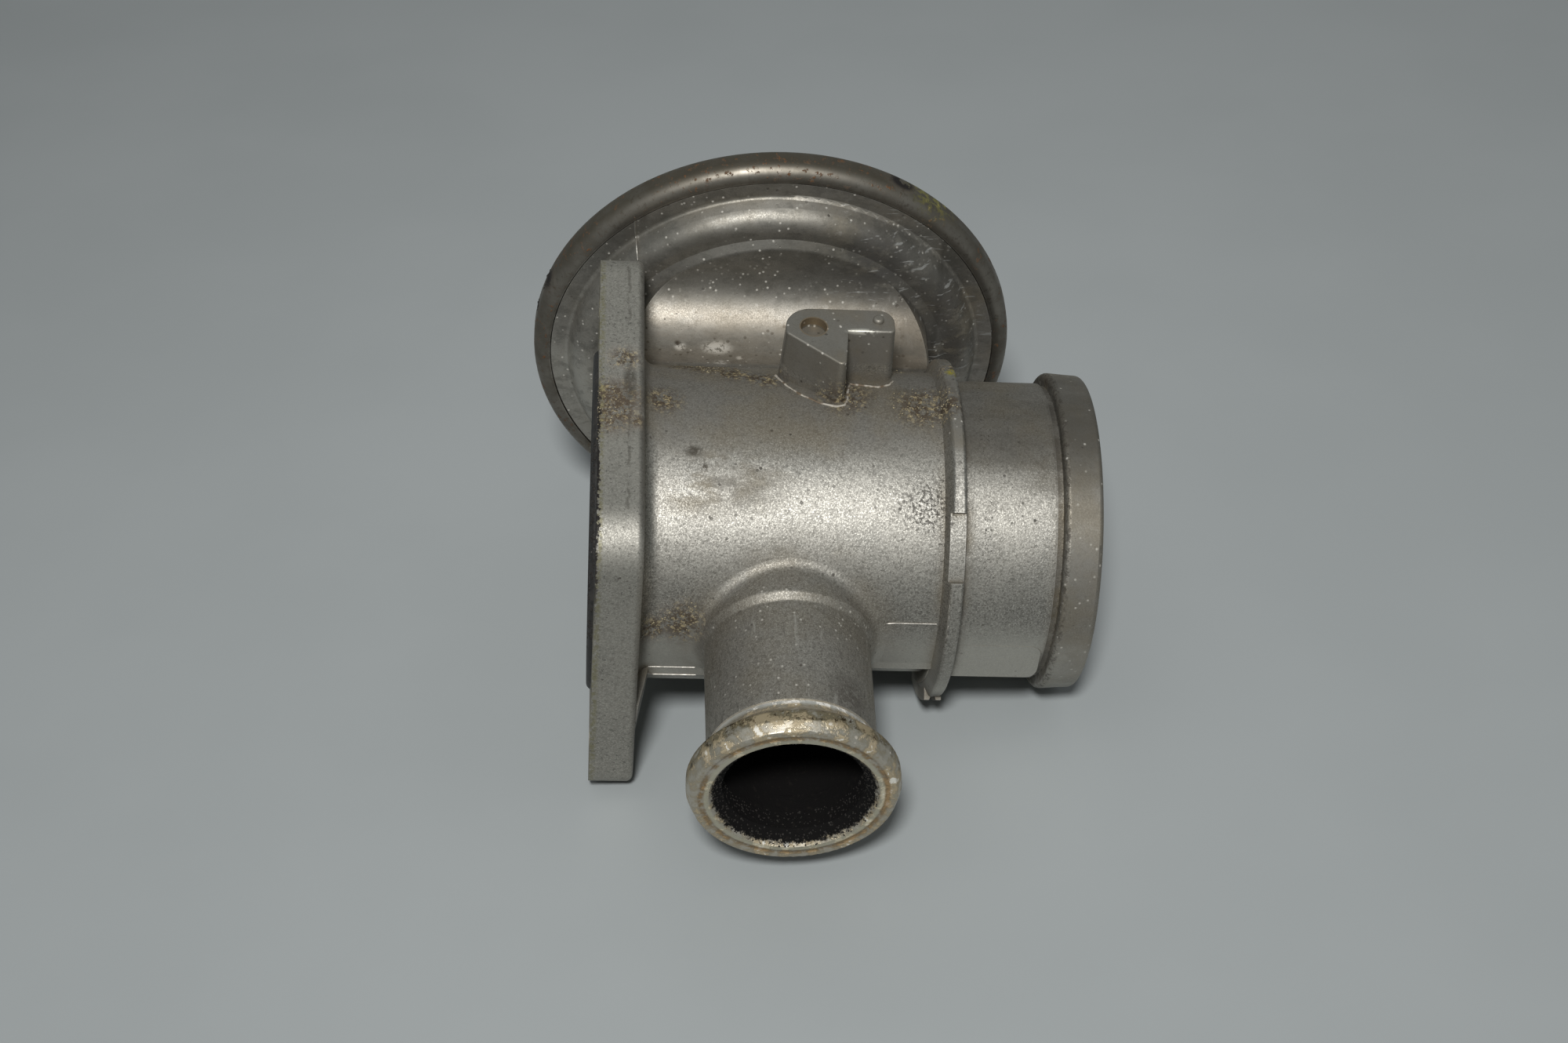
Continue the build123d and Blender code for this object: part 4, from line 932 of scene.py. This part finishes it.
# %% Write the ridge recipe
ridge = GeometryRecipe("ridge", finish="NodeSocketMaterial", thickness="NodeSocketFloat",
                       unevenness="NodeSocketFloat", wave="NodeSocketFloat")
even = ridge.add("GeometryNodeResampleCurve", {"Curve": ridge.start["Geometry"], "Length": 0.35 * MM},
                 mode="LENGTH")
ripple = ridge.add("ShaderNodeTexNoise", {"Vector": ridge.add("GeometryNodeInputPosition")[0],
                                          "Scale": ridge.math("DIVIDE", 1.0, ridge.start["wave"])})
swing = ridge.math("MULTIPLY_ADD", ripple[0], ridge.start["unevenness"], 0.5)
profile = ridge.add("GeometryNodeCurvePrimitiveCircle", {"Resolution": 8, "Radius": 1.0}, mode="RADIUS")
tube = ridge.add("GeometryNodeCurveToMesh", {
    "Curve": even[0], "Profile Curve": profile[0], "Fill Caps": True,
    "Scale": ridge.math("MULTIPLY", swing, ridge.start["thickness"])})
ridge.close(tube[0])

# %% Finish the seams as rubbed bright aluminium
seam_metal = Recipe("seam_metal")
seam_metal.finish(seam_metal.mix(seam_metal.noise(0.8, 3), (0.5, 0.475, 0.43), (0.3, 0.28, 0.25)),
                  0.95, seam_metal.step(seam_metal.noise(1.5, 2), 0.3, 0.7, 0.3, 0.5),
                  seam_metal.bumps((seam_metal.noise(0.4, 2), 0.04, 0.6)))

# %% Sweep the seams
STUB_FLATS_Y = -29.97
DUCT_SEAM_Y = -30.95
PAN_SHOULDER_Y = 50.02
SEAMS = [
    [(11.0, STUB_FLATS_Y, -9.7), (20.3, STUB_FLATS_Y, -9.7)],
    [(10.6, -30.2, -11.2), (12.0, STUB_FLATS_Y, -12.0), (20.6, STUB_FLATS_Y, -12.0)],
    [(55.2, -30.75, 2.2), (55.6, -30.85, 4.6), (56.6, -30.94, 5.7), (58.0, DUCT_SEAM_Y, 5.9),
     (66.3, DUCT_SEAM_Y, 5.9)],
    [(6.8, PAN_SHOULDER_Y, 37.2), (7.0, PAN_SHOULDER_Y, 34.2), (7.2, PAN_SHOULDER_Y, 32.1),
     (7.35, 48.1, 31.6), (7.5, 46.8, 30.7), (7.7, 45.8, 29.4)],
]
run("die_seams", line_data("die_seam_lines", SEAMS), ridge, "valve_body", "cast_aluminium",
    finish=seam_metal.material, thickness=0.16 * MM, unevenness=1.0, wave=2.0 * MM)

# %% [markdown]
# ## Crumbs of soot and scale
# Soot in an exhaust bore isn't a smooth black coat. It is a crust of small crumbs, thicker near
# the mouth, and its loose edge spills over the bright ring. The recipe scatters flattened
# crumbs over a band that lies on the wall, and a fixed seed keeps each run the same.

# %% Write the crumb recipe: scatter points and thin them out towards the edge of their patch
crumbs = GeometryRecipe("crumbs", finish="NodeSocketMaterial", density="NodeSocketFloat",
                        smallest="NodeSocketFloat", largest="NodeSocketFloat", seed="NodeSocketInt",
                        centre="NodeSocketVector", reach="NodeSocketFloat")
given = crumbs.start
scatter = crumbs.add("GeometryNodeDistributePointsOnFaces", {
    "Mesh": given["Geometry"], "Density": given["density"], "Seed": given["seed"]})
from_centre = crumbs.add("ShaderNodeVectorMath", {
    0: crumbs.add("GeometryNodeInputPosition")[0], 1: given["centre"]}, operation="DISTANCE")
share_out = crumbs.math("DIVIDE", from_centre["Value"], given["reach"])
draw = crumbs.add("FunctionNodeRandomValue", {"Seed": given["seed"]}, data_type="FLOAT")
thinned = crumbs.add("GeometryNodeDeleteGeometry", {
    "Geometry": scatter["Points"], "Selection": crumbs.math("GREATER_THAN", share_out, draw[1])},
    domain="POINT")

# %% Set one flattened, lopsided crumb on each point
crumb = crumbs.add("GeometryNodeMeshIcoSphere", {"Radius": 1.0, "Subdivisions": 1})
chance = crumbs.add("FunctionNodeRandomValue", {
    2: given["smallest"], 3: given["largest"], "Seed": given["seed"]}, data_type="FLOAT")
shape = crumbs.add("FunctionNodeRandomValue", {0: (0.5, 0.5, 0.35), 1: (1.2, 1.2, 0.7)},
                   data_type="FLOAT_VECTOR")
crumb_size = crumbs.add("ShaderNodeVectorMath", {0: shape[0], "Scale": chance[1]}, operation="SCALE")
placed = crumbs.add("GeometryNodeInstanceOnPoints", {
    "Points": thinned[0], "Instance": crumb[0], "Rotation": scatter["Rotation"], "Scale": crumb_size[0]})
crumbs.close(placed[0])

# %% Finish and scatter the soot
soot_black = Recipe("soot_black")
soot_black.finish(soot_black.mix(soot_black.noise(0.7, 3), (0.005, 0.0045, 0.004), (0.03, 0.026, 0.022)),
                  0.0, soot_black.step(soot_black.noise(1.1, 2), 0.3, 0.7, 0.7, 0.95),
                  soot_black.bumps((soot_black.noise(0.3, 3), 0.06, 0.8)), Specular_IOR_Level=0.3)
run("mouth_soot", band_data("mouth_wall", [(15.7, -68.5), (13.4, -66.1), (13.25, -62.0)]), crumbs,
    "valve_body", "cast_aluminium", finish=soot_black.material, density=2.4e6,
    smallest=0.08 * MM, largest=0.26 * MM, seed=4, centre=(STEM_X, MOUTH_Y, 0.0), reach=60 * MM)

# %% Finish and scatter the pale corrosion on the clamp bead
pale_scale = Recipe("pale_scale")
pale_scale.finish(pale_scale.mix(pale_scale.step(pale_scale.noise(2.6, 3), 0.42, 0.6),
                                 (0.56, 0.545, 0.49), (0.29, 0.225, 0.12)),
                  0.1, 0.8, pale_scale.bumps((pale_scale.noise(0.3, 3), 0.05, 0.7)), Specular_IOR_Level=0.4)
run("bead_scale", band_data("bead_wall", [(19.5, -66.6), (18.0, -68.3), (16.2, -68.5)]), crumbs,
    "valve_body", "cast_aluminium", finish=pale_scale.material, density=0.6e6,
    smallest=0.04 * MM, largest=0.12 * MM, seed=9, centre=(STEM_X, MOUTH_Y, 16 * MM), reach=30 * MM)

# %% [markdown]
# ## Dirt that has gathered on the skin
# Road dirt clings in lumps where two walls meet and where liquid has dried: at the root of the
# stub, under the lug, along the top of the flange. The crumbs are the same recipe, this time
# scattered over a copy of the casting's own skin, cut to a patch round each place. They lie on
# the real surface however it curves, and the patch leaves the solid itself alone.

# %% Cut a patch from a solid's skin
def patch_data(node, centre, reach):
    """The faces of a solid that lie within reach of a point, merged into one mesh."""
    skin = bmesh.new()
    skin.from_mesh(nodes[node].data)
    middle = Vector(centre)
    far = [face for face in skin.faces if (face.calc_center_median() - middle).length > 1.6 * reach
           and min((vert.co - middle).length for vert in face.verts) > reach]
    bmesh.ops.delete(skin, geom=far, context="FACES")
    bmesh.ops.remove_doubles(skin, verts=skin.verts, dist=0.001 * MM)
    mesh = bpy.data.meshes.new("patch")
    skin.to_mesh(mesh)
    skin.free()
    return mesh

# %% Join several scattered patches into one piece
def join_pieces(name, parts, finish):
    """Joins plain meshes of one finish into one piece."""
    whole = bmesh.new()
    for part in parts:
        whole.from_mesh(part.data)
    mesh = bpy.data.meshes.new(name)
    whole.to_mesh(mesh)
    whole.free()
    for face in mesh.polygons:
        face.material_index = 0
    mesh.materials.append(finish)
    joined = bpy.data.objects.new(name, mesh)
    bpy.context.collection.objects.link(joined)
    for part in parts:
        bpy.data.objects.remove(part)
    return joined


def scatter_patches(name, node, spots, body, slot, finish, density, smallest, largest):
    """Crumbs round several places of one solid, as one piece."""
    first_seed = 20
    parts = []
    for number, (centre_mm, reach_mm) in enumerate(spots):
        centre = tuple(v * MM for v in centre_mm)
        parts.append(run(name + "_" + str(number), patch_data(node, centre, reach_mm * MM), crumbs,
                         body, slot, finish=finish, density=density, smallest=smallest, largest=largest,
                         seed=first_seed + number, centre=centre, reach=reach_mm * MM))
    piece = join_pieces(name, parts, finish)
    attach(piece, body)
    print(name, "has", len(piece.data.polygons), "faces in all")

# %% Scatter ochre dirt on the casting
road_dirt = Recipe("road_dirt")
road_dirt.finish(road_dirt.mix(road_dirt.step(road_dirt.noise(1.6, 3), 0.35, 0.65),
                               (0.07, 0.052, 0.032), (0.33, 0.285, 0.18)),
                 0.0, road_dirt.step(road_dirt.noise(0.9, 2), 0.3, 0.7, 0.75, 0.95),
                 road_dirt.bumps((road_dirt.noise(0.25, 3), 0.05, 0.7)), Specular_IOR_Level=0.3)
DIRT_PLACES = [
    ((63.5, 3.5, 31.5), 7), ((67.0, 1.5, 32.5), 4), ((3.5, -4, 38.26), 6), ((2.6, -9.5, 38.26), 5),
    ((17, -31, 5), 6), ((11.5, -31, 3.6), 4), ((22.2, 17.8, 26.0), 6), ((57, 22, 22.5), 7),
    ((48, 5, 31), 5),
]
scatter_patches("dirt_crumbs", "housing", DIRT_PLACES, "valve_body", "cast_aluminium", road_dirt.material,
                1.5e6, 0.05 * MM, 0.21 * MM)

# %% Lay the dried crust round the lug's foot
dried_crust = Recipe("dried_crust")
dried_crust.finish(dried_crust.mix(dried_crust.step(dried_crust.noise(1.4, 3), 0.42, 0.6),
                                   (0.36, 0.335, 0.285), (0.12, 0.09, 0.06)),
                   0.2, 0.7, dried_crust.bumps((dried_crust.noise(0.25, 3), 0.05, 0.7)),
                   Specular_IOR_Level=0.35)
LUG_FOOT = [(35.0, 13.5, 28.6), (35.7, 11.8, 29.2), (36.9, 9.1, 30.1), (39.3, 6.0, 30.9),
            (43.0, 3.3, 31.3), (46.2, 2.3, 31.4), (47.9, 2.8, 31.4), (48.6, 4.6, 31.1),
            (48.8, 7.3, 30.6), (49.5, 10.5, 29.7), (52.0, 10.0, 29.9), (55.1, 9.5, 30.0),
            (57.4, 10.7, 29.6), (58.3, 12.6, 28.8)]
run("lug_foot_crust", line_data("lug_foot", [LUG_FOOT]), ridge, "valve_body", "cast_aluminium",
    finish=dried_crust.material, thickness=0.2 * MM, unevenness=1.6, wave=1.1 * MM)

# %% Scatter tar on the cover's rim and rubbery lumps on the joint seal
TAR_PLACES = [((-11.8, 53.4, 17.2), 3.2), ((-13.2, 54, 9), 2)]
scatter_patches("rim_tar", "diaphragm_cover", TAR_PLACES, "valve_body", "plated_steel",
                soot_black.material, 3.5e6, 0.10 * MM, 0.30 * MM)
SEAL_PLACES = [((-0.7, -22, 25.5), 7), ((-0.7, -29, 17.0), 7), ((-0.7, -33, 5.0), 7),
               ((-0.7, -12, 31.5), 6)]
scatter_patches("seal_lumps", "flange_seal", SEAL_PLACES, "valve_body", "seal_rubber",
                soot_black.material, 1.1e6, 0.12 * MM, 0.5 * MM)

# %% [markdown]
# ## Threads, braze and sintered beads
# Three small things repeat by rule. The stem's end has a rolled thread, which is one profile
# carried along a helix. The nipple is brazed into the cover, which leaves an uneven fillet of
# filler round its foot. The vent plug is pressed from bronze beads, whose tops show on its face.

# %% Write the thread recipe
thread = GeometryRecipe("thread", finish="NodeSocketMaterial", radius="NodeSocketFloat",
                        length="NodeSocketFloat", turns="NodeSocketFloat", ridge_size="NodeSocketFloat",
                        foot="NodeSocketVector")
helix = thread.add("GeometryNodeCurveSpiral", {
    "Resolution": 24, "Rotations": thread.start["turns"], "Start Radius": thread.start["radius"],
    "End Radius": thread.start["radius"], "Height": thread.start["length"]})
crest = thread.add("GeometryNodeCurvePrimitiveCircle", {
    "Resolution": 4, "Radius": thread.start["ridge_size"]}, mode="RADIUS")
wound = thread.add("GeometryNodeCurveToMesh", {
    "Curve": helix[0], "Profile Curve": crest[0], "Fill Caps": True})
stood = thread.add("GeometryNodeTransform", {
    "Geometry": wound[0], "Translation": thread.start["foot"], "Rotation": (-math.pi / 2, 0, 0)})
thread.close(stood[0])

# %% Wind the thread on the stem's end
thread_steel = metal_finish("thread_steel", (0.5, 0.49, 0.46), (0.3, 0.29, 0.26), (0.1, 0.08, 0.05),
                            0.28, 0.2)
run("stem_thread", bpy.data.meshes.new("thread_start"), thread, "valve_unit", "seat_steel",
    finish=thread_steel, radius=2.4 * MM, length=1.0 * MM, turns=2.0, ridge_size=0.14 * MM,
    foot=(STEM_X, 57.75 * MM, 0.0))

# %% Lay the braze round the nipple's foot
NIPPLE_FOOT_Y_MM = 79.05
NIPPLE_FOOT_R_MM = 4.55
braze = metal_finish("braze_filler", (0.55, 0.36, 0.13), (0.33, 0.2, 0.08), (0.09, 0.06, 0.03), 0.3, 0.4)
nipple_foot = [(STEM_X_MM + NIPPLE_FOOT_R_MM * math.cos(turn), NIPPLE_FOOT_Y_MM,
                NIPPLE_Z_MM + NIPPLE_FOOT_R_MM * math.sin(turn)) for turn in turns_of(48)]
run("nipple_braze", line_data("nipple_foot", [nipple_foot], closed=True), ridge, "valve_body",
    "nipple_brass", finish=braze, thickness=0.5 * MM, unevenness=0.6, wave=3.0 * MM)

# %% Set the bronze beads on the vent plug's face
run("vent_beads", disc_data("vent_face", VENT_FACE_MM, 2.3), crumbs, "valve_body", "vent_sinter",
    finish=vent_metal, density=1.6e7, smallest=0.14 * MM, largest=0.2 * MM, seed=31,
    centre=tuple(v * MM for v in VENT_FACE_MM), reach=30 * MM)

# %% [markdown]
# ## The parts that give when the valve opens
# Lifting the stem by seven millimetres squeezes the coil spring against the cover and rolls the
# diaphragm's fold. Neither can follow a rigid body. The coil is therefore shown by a copy of the
# spring on the valve body. The diaphragm is turned in two rings that meet at the crown of its
# fold: the outer ring is clamped and stays with the valve body, and the inner one is left as a
# loose piece.

# %% Define helpers for rings turned about the stem axis
def arc(centre_r, centre_y, radius, start, end, steps):
    """Points on an arc, in millimetres and degrees, as (radius, height)."""
    angles = [math.radians(start + (end - start) * number / steps) for number in range(steps + 1)]
    return [(centre_r + radius * math.cos(angle), centre_y + radius * math.sin(angle)) for angle in angles]


def turned(name, outline, finish, sides=96):
    """A closed ring about the stem axis from its outline in millimetres."""
    built = bmesh.new()
    rings = [[built.verts.new((STEM_X + radius * MM * math.cos(turn), height * MM,
                               radius * MM * math.sin(turn)))
              for turn in turns_of(sides)] for radius, height in outline]
    for near_ring, far_ring in zip(rings, rings[1:] + rings[:1]):
        for number in range(sides):
            after = (number + 1) % sides
            built.faces.new((near_ring[number], near_ring[after], far_ring[after], far_ring[number]))
    bmesh.ops.recalc_face_normals(built, faces=built.faces)
    mesh = bpy.data.meshes.new(name)
    built.to_mesh(mesh)
    built.free()
    mesh.polygons.foreach_set("use_smooth", [True] * len(mesh.polygons))
    mesh.set_sharp_from_angle(angle=math.radians(40))
    mesh.materials.append(finish)
    piece = bpy.data.objects.new(name, mesh)
    bpy.context.collection.objects.link(piece)
    print(name, "has", len(mesh.polygons), "faces")
    return piece

# %% Name the diaphragm's own sizes in millimetres
FOLD_R, FOLD_Y = 37.4, 57
FOLD_OUTER, FOLD_INNER = 4, 2.8
PLATE_BEND_R, PLATE_BEND_Y = 32.8, 52.1
HOLE_R, DISC_TOP, DISC_FOOT = 2.52, 51.5, 50.3
print("the diaphragm is", round(FOLD_OUTER - FOLD_INNER, 1), "mm thick")

# %% Turn the diaphragm's clamped ring
clamped_outline = (arc(FOLD_R, FOLD_Y, FOLD_OUTER, 90, 0, 12) + arc(42.2, 56.6, 0.8, 180, 270, 4)
                   + arc(48.78, 54.7, 1.1, 90, 0, 4) + [(49.88, 54), (40.2, 54)]
                   + arc(FOLD_R, FOLD_Y, FOLD_INNER, 0, 90, 10))
clamped_ring = turned("diaphragm_clamped", clamped_outline, woven_rubber)
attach(clamped_ring, "valve_body")
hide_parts("diaphragm")

# %% Turn the ring that travels with the stem
travel_outline = ([(HOLE_R, DISC_TOP), (16, DISC_TOP)] + arc(PLATE_BEND_R, PLATE_BEND_Y, 0.6, -90, 0, 4)
                  + [(33.4, 54.5)] + arc(FOLD_R, FOLD_Y, FOLD_OUTER, 180, 90, 12)
                  + arc(FOLD_R, FOLD_Y, FOLD_INNER, 90, 180, 10) + [(34.6, 54.5)]
                  + arc(PLATE_BEND_R, PLATE_BEND_Y, 1.8, 0, -90, 6)
                  + [(16, DISC_FOOT), (HOLE_R, DISC_FOOT)])
travel_ring = turned("diaphragm_travel", travel_outline, woven_rubber)
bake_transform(travel_ring)

# %% Show the spring by a copy of its coil
coil = bpy.data.objects.new("spring_coil", nodes["return_spring"].data.copy())
coil.data.materials.clear()
coil.data.materials.append(small_metals["drawn_spring_wire"])
bpy.context.collection.objects.link(coil)
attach(coil, "valve_body")
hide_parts("return_spring")
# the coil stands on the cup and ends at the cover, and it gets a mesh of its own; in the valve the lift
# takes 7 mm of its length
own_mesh(coil)

# %% [markdown]
# ## Light and air
# A single soft lamp stands on the camera's side, a little above it and to the right, and the
# room gives an even, weak fill. Bare metal shows the same grey room that the camera sees past
# the table's edge. The lamp stands well back, at more than twice the camera's distance, which
# keeps the table's two ends nearly as bright as its middle.

# %% Hang the lamp
LAMP_STANDOFF = 2.2
aim = Vector((45, 0, 0)) * MM
lamp_place = aim + (spot - aim) * LAMP_STANDOFF + up * 0.22 - right * 0.05
lamp_aim = aim + up * 0.06 - right * 0.02
key = bpy.data.lights.new("key_lamp", "AREA")
key.shape = "DISK"
key.size = 0.17
key.energy = 2.2
key.spread = math.radians(75)
lamp = bpy.data.objects.new("key_lamp", key)
bpy.context.collection.objects.link(lamp)
lamp.matrix_world = (Matrix.Translation(lamp_place)
                     @ (lamp_aim - lamp_place).to_track_quat("-Z", "Y").to_matrix().to_4x4())
print("the lamp hangs", round((lamp_place - aim).length, 2), "m from the valve")

# %% Fill the room with weak light, and show it as plain grey
room = bpy.data.worlds.new("room")
bpy.context.scene.world = room
room.use_nodes = True
air = room.node_tree
air.nodes.clear()
seen = air.nodes.new("ShaderNodeBackground")
seen.inputs[0].default_value = (0.30, 0.325, 0.325, 1)
fill = air.nodes.new("ShaderNodeBackground")
fill.inputs[0].default_value = (0.96, 0.98, 1.0, 1)
fill.inputs[1].default_value = 0.25
path = air.nodes.new("ShaderNodeLightPath")
shows = path.outputs["Is Camera Ray"]
for kind in ("Is Glossy Ray", "Is Transmission Ray"):
    either = air.nodes.new("ShaderNodeMath")
    either.operation = "MAXIMUM"
    air.links.new(shows, either.inputs[0])
    air.links.new(path.outputs[kind], either.inputs[1])
    shows = either.outputs[0]
choice = air.nodes.new("ShaderNodeMixShader")
end = air.nodes.new("ShaderNodeOutputWorld")
for socket, result in zip(choice.inputs, (shows, fill.outputs[0], seen.outputs[0])):
    air.links.new(result, socket)
air.links.new(choice.outputs[0], end.inputs[0])
print("the room's fill is", fill.inputs[1].default_value)

# %% [markdown]
# ## The table's surface
# A painted board, pale blue-grey. Its colour wavers a little, as any painted board does, and a
# faint orange-peel bump keeps its sheen from looking like glass.

# %% Paint the table
board = Recipe("table_board")
board_colour = board.mix(board.step(board.noise(60, 3, 0.5), 0.3, 0.7),
                         (0.328, 0.351, 0.351), (0.342, 0.365, 0.365))
orange_peel = board.bumps((board.noise(1.6, 2, 0.5), 0.02, 0.3))
table.data.materials.append(board.finish(board_colour, 0.0, 0.6, orange_peel, Specular_IOR_Level=0.2))

# %% Set the view transform
bpy.context.scene.view_settings.view_transform = "Standard"
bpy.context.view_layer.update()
